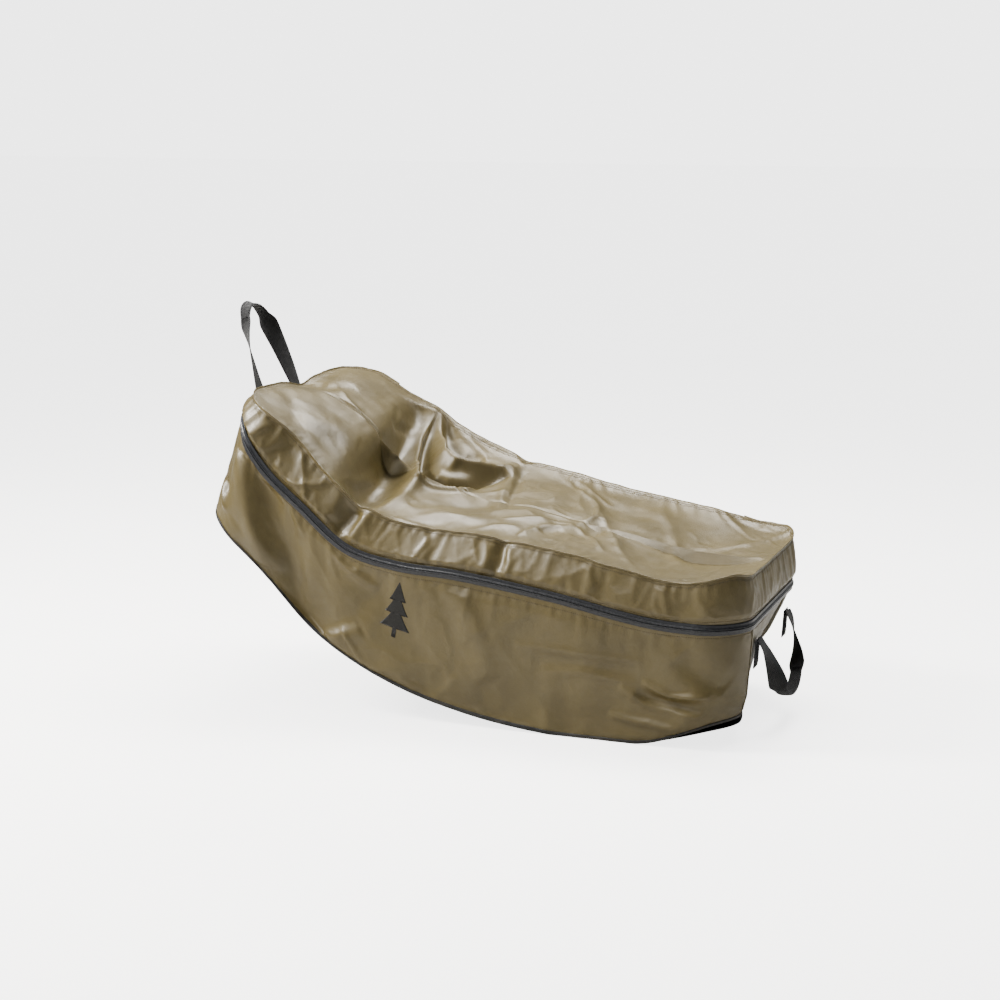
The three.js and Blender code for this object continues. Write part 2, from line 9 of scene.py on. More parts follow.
import bpy
import numpy as np
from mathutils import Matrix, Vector


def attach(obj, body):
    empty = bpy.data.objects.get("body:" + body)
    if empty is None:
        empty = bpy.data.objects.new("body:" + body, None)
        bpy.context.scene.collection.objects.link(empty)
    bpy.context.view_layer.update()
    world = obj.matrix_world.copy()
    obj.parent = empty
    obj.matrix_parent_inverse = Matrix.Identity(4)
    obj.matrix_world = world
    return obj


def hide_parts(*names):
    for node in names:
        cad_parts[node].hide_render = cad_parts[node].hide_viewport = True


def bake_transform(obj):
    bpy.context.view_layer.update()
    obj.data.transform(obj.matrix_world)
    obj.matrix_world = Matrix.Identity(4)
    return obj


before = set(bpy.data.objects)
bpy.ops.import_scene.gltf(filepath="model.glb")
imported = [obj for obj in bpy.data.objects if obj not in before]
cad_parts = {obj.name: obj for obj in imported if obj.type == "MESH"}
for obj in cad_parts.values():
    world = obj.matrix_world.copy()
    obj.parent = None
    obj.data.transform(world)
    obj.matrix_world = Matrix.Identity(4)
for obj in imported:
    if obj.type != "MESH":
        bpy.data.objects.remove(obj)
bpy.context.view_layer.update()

# ---- Driving sizes, as in the CAD ---------------------------------------------------------

BAG_LENGTH = 1.120
TAIL_X = 0.640
BAG_WIDTH = 0.540
CORNER_RADIUS = 0.095
WALL_HEIGHT = 0.245
LID_DEPTH = 0.100
BELLY_SAG = 0.055
SAG_RUN = 0.120
ZIP_OVERRUN = 0.045
WEBBING_WIDTH = 0.040
ANCHOR_HEIGHT = 0.055
HALF_WIDTH = BAG_WIDTH / 2
HALF_END = HALF_WIDTH - CORNER_RADIUS

# Sizes that only the visual has.
FABRIC = 0.0009
BASE_FABRIC = 0.0011
STRIP_PROUD = 0.0004               # how far a welded strip stands proud of the cloth
WEBBING_THICKNESS = 0.0022
GRIP_WIDTH = 0.026
ZIP_STOP = 0.008
SEAM_STEP = 0.004
STITCH_LENGTH, STITCH_PITCH, THREAD_RADIUS = 0.0032, 0.0045, 0.00045

# The bent edges of the bag: [share of the bag's length from the tail, rise above the level].
BASE_EDGE = [[0.013, 0], [0.16, 0], [0.34, 0], [0.52, 0.028], [0.68, 0.085], [0.816, 0.175],
             [0.91, 0.290], [1.004, 0.422]]
ZIP_NEAR = [[0, 0], [0.16, 0.005], [0.35, 0.043], [0.53, 0.071], [0.65, 0.081],
            [0.745, 0.108], [0.836, 0.189], [0.91, 0.263], [0.978, 0.375]]
ZIP_FAR = [[0, 0], [0.16, 0.030], [0.35, 0.080], [0.53, 0.115], [0.65, 0.155],
           [0.73, 0.215], [0.81, 0.295], [0.875, 0.350], [0.946, 0.375]]
LID_NEAR = [[0.004, 0], [0.16, -0.002], [0.35, 0.033], [0.53, 0.052], [0.64, 0.065],
            [0.72, 0.095], [0.80, 0.165], [0.88, 0.253], [0.96, 0.313]]
LID_FAR = [[0.004, -0.005], [0.16, 0.033], [0.35, 0.070], [0.53, 0.115], [0.64, 0.155],
           [0.72, 0.200], [0.80, 0.255], [0.866, 0.295], [0.94, 0.310]]

# ---- Small maths --------------------------------------------------------------------------


def smooth(x):
    x = np.clip(x, 0, 1)
    return x * x * (3 - 2 * x)


def unit(vectors):
    vectors = np.asarray(vectors, float)
    return vectors / np.maximum(np.linalg.norm(vectors, axis=-1, keepdims=True), 1e-12)


def catmull(points, steps):
    """A centripetal Catmull-Rom curve through the points, with so many steps to a span."""
    p = np.array(points, float)
    p = np.vstack([2 * p[0] - p[1], p, 2 * p[-1] - p[-2]])
    share = np.linspace(0, 1, steps, endpoint=False)[:, None]
    curve = []
    for p0, p1, p2, p3 in zip(p, p[1:], p[2:], p[3:]):
        d0, d1, d2 = (max(math.sqrt(np.linalg.norm(b - a)), 1e-9)
                      for a, b in ((p0, p1), (p1, p2), (p2, p3)))
        start = ((p1 - p0) / d0 - (p2 - p0) / (d0 + d1) + (p2 - p1) / d1) * d1
        end = ((p2 - p1) / d1 - (p3 - p1) / (d1 + d2) + (p3 - p2) / d2) * d1
        curve.append(p1 + start * share + (3 * (p2 - p1) - 2 * start - end) * share ** 2
                     + (2 * (p1 - p2) + start + end) * share ** 3)
    return np.vstack(curve + [p[-2:-1]])


def run_length(points):
    """Distance of each point from the first, along the points."""
    steps = np.linalg.norm(np.diff(points, axis=0), axis=1)
    return np.concatenate([[0], np.cumsum(steps)])


def noise(x, y, cell, seed):
    """Gradient noise in -1..1 over the plane, with so large a cell."""
    period, start = 61, 400.5
    angle = np.random.default_rng(seed).uniform(0, 2 * np.pi, (period, period))
    gx, gy = x / cell + start, y / cell + start
    ix, iy = np.floor(gx).astype(int), np.floor(gy).astype(int)
    fx, fy = gx - ix, gy - iy

    def corner(dx, dy):
        a = angle[(ix + dx) % period, (iy + dy) % period]
        return np.cos(a) * (fx - dx) + np.sin(a) * (fy - dy)

    sx = fx ** 3 * (fx * (fx * 6 - 15) + 10)
    sy = fy ** 3 * (fy * (fy * 6 - 15) + 10)
    low = corner(0, 0) * (1 - sx) + corner(1, 0) * sx
    high = corner(0, 1) * (1 - sx) + corner(1, 1) * sx
    return 1.5 * (low * (1 - sy) + high * sy)


def creases(x, y, cell, seed):
    """A net of soft creases: near 1 along its lines and falling below 0 between them."""
    warp = cell * 0.35
    wx = x + warp * noise(x, y, cell * 1.3, seed + 1)
    wy = y + warp * noise(x, y, cell * 1.3, seed + 2)
    n = noise(wx, wy, cell, seed)
    return 1 - 3.2 * np.abs(n) / (0.35 + np.abs(n))


def from_line(x, y, points):
    """Distance to a bent line, on which side it is, and how far along the line."""
    p = np.array(points, float)
    before = run_length(p)
    lengths = np.linalg.norm(np.diff(p, axis=0), axis=1)
    best = np.full(np.shape(x), 1e9)
    side = np.zeros(np.shape(x))
    share = np.zeros(np.shape(x))
    for (ax, ay), (bx, by), length, start in zip(p, p[1:], lengths, before):
        t = np.clip(((x - ax) * (bx - ax) + (y - ay) * (by - ay)) / length ** 2, 0, 1)
        dx, dy = x - ax - t * (bx - ax), y - ay - t * (by - ay)
        d = np.hypot(dx, dy)
        nearer = d < best
        best = np.where(nearer, d, best)
        side = np.where(nearer, np.sign((bx - ax) * dy - (by - ay) * dx), side)
        share = np.where(nearer, (start + t * length) / before[-1], share)
    return best, side, share


def folds(x, y, lines):
    """Height over a surface of listed folds: (height, width, kind, points).

    A soft fold is round, a crisp one has a sharp crest, and a step is high on one side only.
    """
    height = np.zeros(np.shape(x))
    for rise, width, kind, points in lines:
        d, side, share = from_line(x, y, points)
        taper = np.sqrt(np.clip(4 * share * (1 - share), 0, 1))
        if kind == "crisp":
            shape = 1 / (1 + (d / width) ** 2) ** 1.5
        elif kind == "step":
            shape = side * (1 - np.exp(-(d / (0.3 * width)) ** 2)) * np.exp(-(d / width) ** 2)
        else:
            shape = np.exp(-(d / width) ** 2)
        height += rise * taper * shape
    return height


def upright_folds(near, height, lines, tall):
    """Folds of a wall or band so tall, whose points are given by share of its height."""
    return folds(near, height * tall, [(rise, width, kind, [(a, b * tall) for a, b in line])
                                       for rise, width, kind, line in lines])


# ---- The bag's shape, as in the CAD -------------------------------------------------------


class Rail:
    """One bent edge of the bag, read by the share of its length."""

    def __init__(self, offsets, level):
        points = [(TAIL_X - share * BAG_LENGTH, level + rise) for share, rise in offsets]
        self.points = catmull(points, 200)
        distance = run_length(self.points)
        self.length = distance[-1]
        self.share = distance / self.length

    def at(self, share):
        return np.stack([np.interp(share, self.share, self.points[:, i]) for i in (0, 1)], -1)


base_rail = Rail(BASE_EDGE, 0)
BASE = (base_rail, base_rail)
ZIP = (Rail(ZIP_NEAR, WALL_HEIGHT), Rail(ZIP_FAR, WALL_HEIGHT))
LID = tuple(Rail(edge, WALL_HEIGHT + LID_DEPTH) for edge in (LID_NEAR, LID_FAR))
EDGE_LENGTH = ZIP[0].length
HEAD_CENTRE = EDGE_LENGTH - CORNER_RADIUS

# The plan outline in eight sections, clockwise from above, from the tail end's far corner.
CORNER_ARC = CORNER_RADIUS * math.pi / 2
SIDE = EDGE_LENGTH - 2 * CORNER_RADIUS
LENGTHS = np.array([2 * HALF_END, CORNER_ARC, SIDE, CORNER_ARC] * 2)
STARTS = np.concatenate([[0], np.cumsum(LENGTHS)[:-1]])
ROUND = LENGTHS.sum()
NEAR_START = STARTS[2] - CORNER_RADIUS     # on the near side, round - NEAR_START is along
# The zip runs from one far corner round the near side to the other.
ZIP_START = STARTS[7] - ZIP_OVERRUN - ROUND
ZIP_END = STARTS[6] + ZIP_OVERRUN


def outline(around):
    """Along and Y of a point of the outline, by its distance round it."""
    around = np.mod(around, ROUND)
    section = np.clip(np.searchsorted(STARTS, around, side="right") - 1, 0, 7)
    share = (around - STARTS[section]) / LENGTHS[section]
    turn = share * np.pi / 2
    sine, cosine = np.sin(turn) * CORNER_RADIUS, np.cos(turn) * CORNER_RADIUS
    flat = np.zeros_like(share)
    along = np.choose(section, [
        flat, CORNER_RADIUS - cosine, CORNER_RADIUS + share * SIDE, HEAD_CENTRE + sine,
        EDGE_LENGTH + flat, HEAD_CENTRE + cosine, HEAD_CENTRE - share * SIDE,
        CORNER_RADIUS - sine])
    y = np.choose(section, [
        HALF_END * (1 - 2 * share), -HALF_END - sine, flat - HALF_WIDTH,
        -HALF_END - cosine, HALF_END * (2 * share - 1), HALF_END + sine,
        HALF_WIDTH + flat, HALF_END + cosine])
    return along, y


def on_level(level, along, y):
    share = np.clip(along / EDGE_LENGTH, 0, 1)
    across = np.clip(y / BAG_WIDTH + 0.5, 0, 1)[..., None]
    xz = level[0].at(share) * (1 - across) + level[1].at(share) * across
    return np.stack([xz[..., 0], y + 0 * xz[..., 0], np.maximum(xz[..., 1], 0)], -1)


HEEL_IN, HEEL_IN_FAR = 0.004, 0.100        # the tail's foot drawn in, near and added to far
HEEL_UP, HEEL_DOWN_FAR = 0.040, 0.018      # the tail's foot drawn up, near and less far
HEEL_LEAN = 0.35                           # how much more of it the foot of the walls takes
LEAN_HEIGHT = 0.62                         # and up to which share of their height
HEAD_CORNER_SHIFT = (-0.022, -0.012, -0.004)
HEAD_FEET_END = -0.125                     # the handle's feet lie flat up to this Y


def heel(along, y):
    """The slack foot of the tail end is drawn in and up, and the head's near foot stands out."""
    far = smooth((y + 0.20) / 0.40)
    rise = smooth(1 - along / 0.21) ** 1.1
    shift = np.zeros(np.shape(rise) + (3,))
    shift[..., 0] = -(HEEL_IN + HEEL_IN_FAR * far) * smooth(1 - along / 0.30)
    shift[..., 2] = (HEEL_UP - HEEL_DOWN_FAR * far) * rise
    corner = np.exp(-((along - EDGE_LENGTH) ** 2 + (y + 0.22) ** 2) / 0.13 ** 2)
    corner = corner * smooth((HEAD_FEET_END - y) / 0.06)
    shift += corner[..., None] * np.array(HEAD_CORNER_SHIFT)
    return shift


# ---- Folds ---------------------------------------------------------------------------------

# Whole stretches of the lid that stand away from the plain shape: (along, Y, reach, shift).
PULLS = [
    (0.62, -0.27, 0.34, (0, 0.030, 0)),
    (1.06, -0.27, 0.14, (0, 0.026, 0)),
    (0.868, -0.27, 0.026, (0.004, 0.007, -0.013)),
    (0.835, -0.27, 0.030, (0.0, -0.003, 0.005)),
    (0.930, -0.27, 0.050, (-0.003, -0.004, 0.004)),
    (0.524, -0.27, 0.016, (0, 0.006, -0.004)),
    (0.600, -0.27, 0.050, (0, -0.004, 0.003)),
    (0.693, -0.27, 0.014, (0, 0.003, -0.002)),
    (0.150, -0.27, 0.060, (0, 0.006, -0.008)),
    (0.010, 0.23, 0.060, (0.003, 0.0, 0.012)),
    (0.035, -0.235, 0.040, (0, 0.0, 0.008)),
    (0.955, 0.27, 0.045, (0, 0, 0.008)),
    (1.08, 0.27, 0.050, (0, 0, -0.006)),
    (1.19, 0.20, 0.050, (0, 0, 0.006)),
    (1.222, 0.02, 0.050, (0, 0, -0.012)),
    (1.215, -0.17, 0.050, (0, 0, 0.004)),
    (0.70, 0.27, 0.030, (0, -0.003, -0.008)),
]
# The upper ridge of the deep fold, which has a round back and a crisp crest.
FAR_RIDGE = [(0.950, 0.27), (0.900, 0.175), (0.862, 0.105), (0.815, 0.088), (0.762, 0.125),
             (0.705, 0.205)]
# Folds of the lid's top, in along and Y: (height, width, kind, points).
LID_FOLDS = [
    # the deep diagonal valley, and the crest on its tail side
    (-0.049, 0.042, "soft", [(0.985, 0.24), (0.945, 0.13), (0.915, 0.0), (0.890, -0.14),
                             (0.872, -0.30)]),
    (0.018, 0.022, "soft", [(0.965, 0.27), (0.925, 0.14), (0.893, 0.06), (0.850, -0.045),
                            (0.838, -0.13), (0.838, -0.27)]),
    (0.012, 0.008, "crisp", [(0.960, 0.26), (0.928, 0.145), (0.897, 0.065), (0.852, -0.04),
                             (0.800, -0.030), (0.740, 0.010), (0.705, 0.155)]),
    (-0.040, 0.018, "soft", [(0.948, 0.25), (0.908, 0.15), (0.872, 0.06), (0.835, 0.010),
                             (0.790, 0.018), (0.745, 0.055), (0.712, 0.17)]),
    (0.026, 0.018, "soft", FAR_RIDGE),
    (0.006, 0.006, "crisp", FAR_RIDGE),
    (-0.018, 0.020, "soft", [(0.93, 0.27), (0.885, 0.20), (0.83, 0.17), (0.78, 0.20)]),
    # the tonal ridge that runs on from the pinch at the far rim
    (0.006, 0.022, "step", [(0.700, 0.24), (0.672, 0.12), (0.650, 0.04), (0.62, -0.05)]),
    (0.004, 0.008, "crisp", [(0.705, 0.22), (0.672, 0.12), (0.645, 0.04)]),
    # star of wrinkles on the tail half
    (0.0055, 0.008, "crisp", [(0.60, -0.10), (0.545, -0.075), (0.500, -0.045), (0.450, -0.03)]),
    (0.0060, 0.008, "crisp", [(0.535, -0.175), (0.505, -0.09), (0.450, -0.035)]),
    (0.0055, 0.009, "crisp", [(0.450, -0.03), (0.395, -0.075), (0.345, -0.14)]),
    (0.0050, 0.008, "crisp", [(0.450, -0.03), (0.430, 0.05), (0.455, 0.13)]),
    (-0.006, 0.020, "soft", [(0.43, -0.09), (0.40, -0.02), (0.405, 0.05)]),
    (-0.005, 0.018, "soft", [(0.50, -0.12), (0.47, -0.07)]),
    # long shallow creases over the lid
    (0.0040, 0.010, "crisp", [(0.600, 0.245), (0.520, 0.18), (0.445, 0.12)]),
    (0.0045, 0.009, "crisp", [(0.575, 0.255), (0.500, 0.20), (0.430, 0.155)]),
    (0.0045, 0.012, "crisp", [(0.535, 0.25), (0.430, 0.08), (0.330, -0.08), (0.235, -0.225)]),
    (-0.005, 0.030, "soft", [(0.500, 0.25), (0.390, 0.08), (0.290, -0.08), (0.200, -0.20)]),
    (0.004, 0.016, "soft", [(0.33, 0.22), (0.25, 0.08), (0.20, -0.06)]),
    (0.005, 0.020, "soft", [(0.79, -0.24), (0.70, -0.16), (0.62, -0.13)]),
    (-0.006, 0.024, "soft", [(0.80, -0.16), (0.72, -0.08), (0.66, -0.02)]),
    (0.003, 0.007, "crisp", [(0.665, -0.25), (0.60, -0.16), (0.545, -0.12)]),
    (0.003, 0.008, "crisp", [(0.17, -0.25), (0.12, -0.15), (0.10, -0.03)]),
    (0.004, 0.009, "crisp", [(0.02, 0.22), (0.09, 0.13), (0.16, 0.08)]),
    # head half: broad and smooth, with a fine crease and a notch
    (0.0035, 0.008, "crisp", [(1.165, 0.08), (1.10, 0.02), (1.02, -0.01)]),
    (-0.006, 0.012, "soft", [(1.02, 0.16), (0.985, 0.10), (0.965, 0.17)]),
    (0.006, 0.035, "soft", [(1.10, -0.20), (1.04, -0.12), (0.98, -0.10)]),
    (-0.005, 0.022, "soft", [(1.20, -0.10), (1.15, -0.14), (1.09, -0.25)]),
    (-0.006, 0.022, "soft", [(1.205, 0.06), (1.16, 0.03), (1.12, 0.10)]),
]
# Broad dents and swellings of the lid's top: (along, Y, reach along, reach across, height).
LID_BUMPS = [
    (0.165, -0.01, 0.13, 0.17, -0.024),
    (0.40, -0.10, 0.11, 0.10, -0.006),
    (0.60, 0.02, 0.12, 0.16, 0.008),
    (0.75, -0.16, 0.07, 0.08, 0.008),
    (1.03, 0.00, 0.10, 0.18, 0.014),
    (1.15, 0.14, 0.06, 0.08, 0.006),
]
# Folds of the near wall and its corners, in distance round from the tail and share of height.
WALL_FOLDS = [
    (0.0085, 0.013, "crisp", [(0.925, 0.98), (0.85, 0.86), (0.765, 0.76)]),
    (-0.0185, 0.050, "soft", [(1.09, 0.99), (1.02, 0.60), (0.95, 0.20), (0.89, 0.0)]),
    (0.0150, 0.040, "soft", [(1.16, 0.85), (1.11, 0.45), (1.05, 0.10)]),
    (0.0085, 0.020, "soft", [(0.86, 0.02), (0.825, 0.20), (0.79, 0.34)]),
    (0.0048, 0.008, "crisp", [(0.87, 0.03), (0.825, 0.24), (0.775, 0.04)]),
    (-0.0085, 0.060, "soft", [(0.80, 0.90), (0.70, 0.45), (0.60, 0.12)]),
    (0.0040, 0.010, "crisp", [(0.46, 0.60), (0.34, 0.64), (0.195, 0.68)]),
    (0.0051, 0.012, "crisp", [(0.40, 0.47), (0.30, 0.52), (0.20, 0.50)]),
    (-0.0050, 0.026, "soft", [(0.42, 0.52), (0.31, 0.56), (0.20, 0.59)]),
    (0.0020, 0.024, "soft", [(0.385, 0.48), (0.372, 0.22), (0.365, 0.0)]),
    (-0.0020, 0.026, "soft", [(0.35, 0.45), (0.335, 0.22), (0.33, 0.0)]),
    (0.0085, 0.009, "crisp", [(0.235, 0.46), (0.18, 0.34), (0.12, 0.26), (0.06, 0.12)]),
    (0.0085, 0.009, "crisp", [(0.19, 0.52), (0.13, 0.40), (0.05, 0.34)]),
    (-0.0119, 0.018, "soft", [(0.20, 0.42), (0.13, 0.32), (0.06, 0.22)]),
    (0.0076, 0.009, "crisp", [(0.25, 0.22), (0.17, 0.18), (0.10, 0.06)]),
    (-0.0085, 0.030, "soft", [(0.12, 0.75), (0.07, 0.55), (0.02, 0.42)]),
    (0.0068, 0.026, "soft", [(0.62, 0.95), (0.55, 0.70), (0.50, 0.30)]),
    (0.0051, 0.010, "crisp", [(1.215, 0.36), (1.185, 0.26), (1.17, 0.20)]),
    (-0.0068, 0.010, "soft", [(1.20, 0.42), (1.18, 0.33)]),
    (0.0037, 0.009, "crisp", [(1.01, 0.99), (0.985, 0.86), (0.955, 0.78)]),
]
# Folds of the lid's near band, in the same two coordinates, from the zip to the rim.
BAND_FOLDS = [
    (0.0040, 0.010, "crisp", [(0.700, 0.15), (0.690, 0.6), (0.694, 1.0)]),
    (-0.0045, 0.014, "soft", [(0.665, 0.10), (0.664, 0.9)]),
    (0.0040, 0.009, "crisp", [(0.545, 0.05), (0.549, 0.5), (0.560, 0.98)]),
    (-0.0054, 0.013, "soft", [(0.522, 0.0), (0.519, 0.5), (0.526, 1.0)]),
    (0.0036, 0.010, "crisp", [(0.500, 0.0), (0.497, 0.5), (0.515, 1.0)]),
    (-0.0150, 0.024, "soft", [(0.885, 0.10), (0.874, 0.5), (0.868, 1.0)]),
    (0.0054, 0.014, "soft", [(0.845, 0.0), (0.842, 0.5), (0.838, 1.0)]),
    (0.0054, 0.010, "crisp", [(1.045, 0.0), (0.985, 0.5), (0.935, 1.0)]),
    (0.0045, 0.010, "crisp", [(1.050, 1.0), (0.995, 0.5), (0.960, 0.0)]),
    (-0.0050, 0.022, "soft", [(1.10, 0.1), (1.06, 0.9)]),
    (0.0045, 0.010, "crisp", [(1.155, 0.1), (1.13, 0.9)]),
    (0.0032, 0.012, "crisp", [(0.335, 0.95), (0.315, 0.5), (0.325, 0.1)]),
    (-0.0036, 0.020, "soft", [(0.29, 0.9), (0.285, 0.1)]),
    (0.0032, 0.012, "crisp", [(0.17, 0.9), (0.15, 0.2)]),
    (-0.0045, 0.024, "soft", [(0.12, 1.0), (0.11, 0.1)]),
]


def pulled(along, y):
    """How far the lid's edge and top stand away from the plain shape."""
    shift = np.zeros(np.shape(along) + (3,))
    inward = -np.sign(y) * smooth(np.abs(y) / 0.1)
    shift[..., 1] = inward * (0.0035 * noise(along, y, 0.09, 81)
                              + 0.0010 * noise(along, y, 0.03, 82))
    shift[..., 2] = 0.0030 * noise(along, y, 0.11, 83) + 0.0010 * noise(along, y, 0.035, 84)
    for a, b, reach, vector in PULLS:
        near = np.exp(-((along - a) ** 2 + (y - b) ** 2) / reach ** 2)
        shift += near[..., None] * np.array(vector)
    return shift


def bumps(along, y, places):
    height = np.zeros(np.shape(along))
    for a, b, reach_along, reach_across, rise in places:
        height += rise * np.exp(-((along - a) / reach_along) ** 2 - ((y - b) / reach_across) ** 2)
    return height


def normals(points, closed=False):
    if closed:
        columns = np.concatenate([points[:, -1:], points, points[:, :1]], axis=1)
        round_step = (columns[:, 2:] - columns[:, :-2]) / 2
    else:
        round_step = np.gradient(points, axis=1)
    return unit(np.cross(np.gradient(points, axis=0), round_step))


class Cloth:
    """A grid of points on a stretch of fabric. Columns run round or along, rows across."""

    def __init__(self, columns, rows, points, closed=False):
        self.columns, self.rows, self.closed = columns, rows, closed
        self.points = points
        self.normals = normals(points, closed)

    def at(self, column, row, proud=0.0):
        """Points on the fabric at these two coordinates, so far proud of it."""
        column, row = np.broadcast_arrays(np.asarray(column, float), np.asarray(row, float))
        points, outward, places = self.points, self.normals, self.columns
        if self.closed:
            column = np.mod(column, ROUND)
            places = np.append(places, ROUND)
            points = np.concatenate([points, points[:, :1]], axis=1)
            outward = np.concatenate([outward, outward[:, :1]], axis=1)
        c = np.interp(column, places, np.arange(len(places)))
        r = np.interp(row, self.rows, np.arange(len(self.rows)))
        c0 = np.clip(c.astype(int), 0, len(places) - 2)
        r0 = np.clip(r.astype(int), 0, len(self.rows) - 2)
        fc, fr = (c - c0)[..., None], (r - r0)[..., None]

        def read(grid):
            low = grid[r0, c0] * (1 - fc) + grid[r0, c0 + 1] * fc
            high = grid[r0 + 1, c0] * (1 - fc) + grid[r0 + 1, c0 + 1] * fc
            return low * (1 - fr) + high * fr

        return read(points) + proud * unit(read(outward))


STEP = 0.0045


def ring_columns():
    """Distances round the outline, evenly spaced within each section, without the last."""
    return np.concatenate([
        np.linspace(start, start + length, int(round(length / STEP)), endpoint=False)
        for start, length in zip(STARTS, LENGTHS)])


ring = ring_columns()


PUCKER_HEIGHT, PUCKER_REACH = 0.0008, 0.018


def seam_puckers(around, distance, seed):
    """Short ripples that a sewn seam draws up in the fabric beside it."""
    level = 0 * around
    pitch = (0.021 + 0.006 * noise(around, level, 0.16, seed)).mean()
    strength = 0.55 + 0.45 * noise(around, level, 0.11, seed + 1)
    ripple = np.sin(2 * np.pi * around / pitch + 5 * noise(around, level, 0.09, seed + 2))
    return PUCKER_HEIGHT * strength * ripple * np.exp(-(distance / PUCKER_REACH) ** 2)


def build_walls():
    """The ring of walls, from the base's edge to just over the zip's lower lip."""
    rows = np.concatenate([np.linspace(0, 0.06, 7)[:-1], np.linspace(0.06, 0.86, 46)[:-1],
                           np.linspace(0.86, 0.975, 16)])
    around, height = np.meshgrid(ring, rows)
    along, y = outline(around)
    slack = heel(along, y)
    foot = on_level(BASE, along, y) + slack
    top = on_level(ZIP, along, y)
    plain = foot + (top - foot) * height[..., None]
    lean = smooth((LEAN_HEIGHT - height) / LEAN_HEIGHT)[..., None] * slack * HEEL_LEAN
    outward = normals(plain, True)
    near = around - NEAR_START
    end = ((near < -0.05) | (near > EDGE_LENGTH + 0.05)) & (np.abs(y) < HALF_END)
    calm = 1 - 0.92 * end
    far = smooth((y - 0.10) / 0.1)
    h = height * WALL_HEIGHT
    depth = 0.0060 * noise(around, h, 0.21, 3) + 0.0012 * noise(around, h, 0.085, 4)
    depth += 0.0014 * creases(around, h * 1.2, 0.15, 5) * smooth(0.5 + noise(around, h, 0.3, 8))
    depth += 0.0007 * creases(around, h, 0.055, 6) * smooth(0.2 + 1.5 * noise(around, h, 0.25, 9))
    depth += 0.0045 * np.sin(np.pi * height) * (1 - end)
    handmade = upright_folds(near, height, WALL_FOLDS, WALL_HEIGHT)
    depth = depth * calm * (1 + 0.5 * far) + handmade * (1 - far)
    window = smooth(height / 0.08) * smooth((0.957 - height) / 0.11)
    pucker = seam_puckers(around, (0.94 - height) * WALL_HEIGHT, 40)
    pucker *= smooth((0.955 - height) / 0.03)
    points = plain + lean + (depth * window + pucker * calm)[..., None] * outward
    points[..., 2] = np.maximum(points[..., 2], 0.0008)
    return Cloth(ring, rows, points, True)


def build_band():
    """The lid's ring of fabric, from the zip to the lid's rim."""
    rows = np.concatenate([np.linspace(0.06, 0.30, 13)[:-1], np.linspace(0.30, 0.80, 13)[:-1],
                           np.linspace(0.80, 1.0, 11)])
    around, height = np.meshgrid(ring, rows)
    along, y = outline(around)
    foot = on_level(ZIP, along, y)
    top = on_level(LID, along, y) + pulled(along, y)
    plain = foot + (top - foot) * height[..., None]
    outward = normals(plain, True)
    h = height * LID_DEPTH
    near = around - NEAR_START
    depth = 0.0026 * noise(around, h, 0.12, 13) + 0.0014 * noise(around, h * 0.6, 0.06, 14)
    depth += 0.0008 * creases(around, h * 0.5, 0.05, 15)
    depth += 0.0075 * np.sin(np.pi * height ** 0.65)
    far = smooth((y - 0.10) / 0.1)
    depth += (1 - far) * upright_folds(near, height, BAND_FOLDS, LID_DEPTH)
    window = smooth((height - 0.10) / 0.18) * smooth((1.0 - height) / 0.20)
    pucker = seam_puckers(around, (height - 0.2) * LID_DEPTH, 50) * smooth((height - 0.11) / 0.08)
    pucker += 0.8 * seam_puckers(around, (0.9 - height) * LID_DEPTH, 60)
    pucker *= smooth((1 - height) / 0.1)
    points = plain + (depth * window + pucker)[..., None] * outward
    return Cloth(ring, rows, points, True)


def plan_grid(inset, across_steps, step=STEP):
    """Along and Y over the whole plan, in rows from the near side to the far side."""
    turn = np.linspace(0, np.pi / 2, 26)
    radius = CORNER_RADIUS - inset
    corner = np.stack([CORNER_RADIUS - radius * np.cos(turn), HALF_END + radius * np.sin(turn)])
    side = np.linspace(CORNER_RADIUS, HEAD_CENTRE, int(SIDE / step))[1:-1]
    side = np.stack([side, np.full_like(side, HALF_WIDTH - inset)])
    head = np.stack([EDGE_LENGTH - corner[0], corner[1]])[:, ::-1]
    edge = np.concatenate([corner, side, head], axis=1)
    across = np.linspace(-1, 1, across_steps)[:, None]
    return edge[0] + 0 * across, edge[1] * across, across + 0 * edge[0]


def build_lid_top():
    """The lid's top, with its folds, and the along and Y of its points."""
    along, y, across = plan_grid(0, 119)
    plain = on_level(LID, along, y)
    outward = normals(plain)
    half = np.abs(y) / np.maximum(np.abs(across), 1e-6)
    edge = np.minimum(half * (1 - np.abs(across)), np.minimum(along, EDGE_LENGTH - along))
    window = smooth(edge / 0.045)
    fine = smooth(edge / 0.012)
    handmade = folds(along, y, LID_FOLDS) + bumps(along, y, LID_BUMPS)
    loose = 0.0045 * noise(along, y, 0.17, 23) + 0.0022 * noise(along, y, 0.07, 24)
    loose += 0.0020 * creases(along, y * 0.8, 0.14, 25) * smooth(0.5 + noise(along, y, 0.3, 28))
    loose += 0.0009 * creases(along, y, 0.05, 26) * smooth(0.3 + 1.5 * noise(along, y, 0.2, 29))
    loose *= 1 - 0.75 * smooth((along - 0.90) / 0.12)
    depth = handmade * window + loose * window
    depth += 0.0010 * fine * np.sin(2 * np.pi * (along + 0.4 * y) / 0.024
                                    + 5 * noise(along, y, 0.1, 30)) * np.exp(-(edge / 0.02) ** 2)
    points = plain + pulled(along, y) + depth[..., None] * outward
    return along, y, Cloth(np.arange(along.shape[1]), np.arange(along.shape[0]), points)


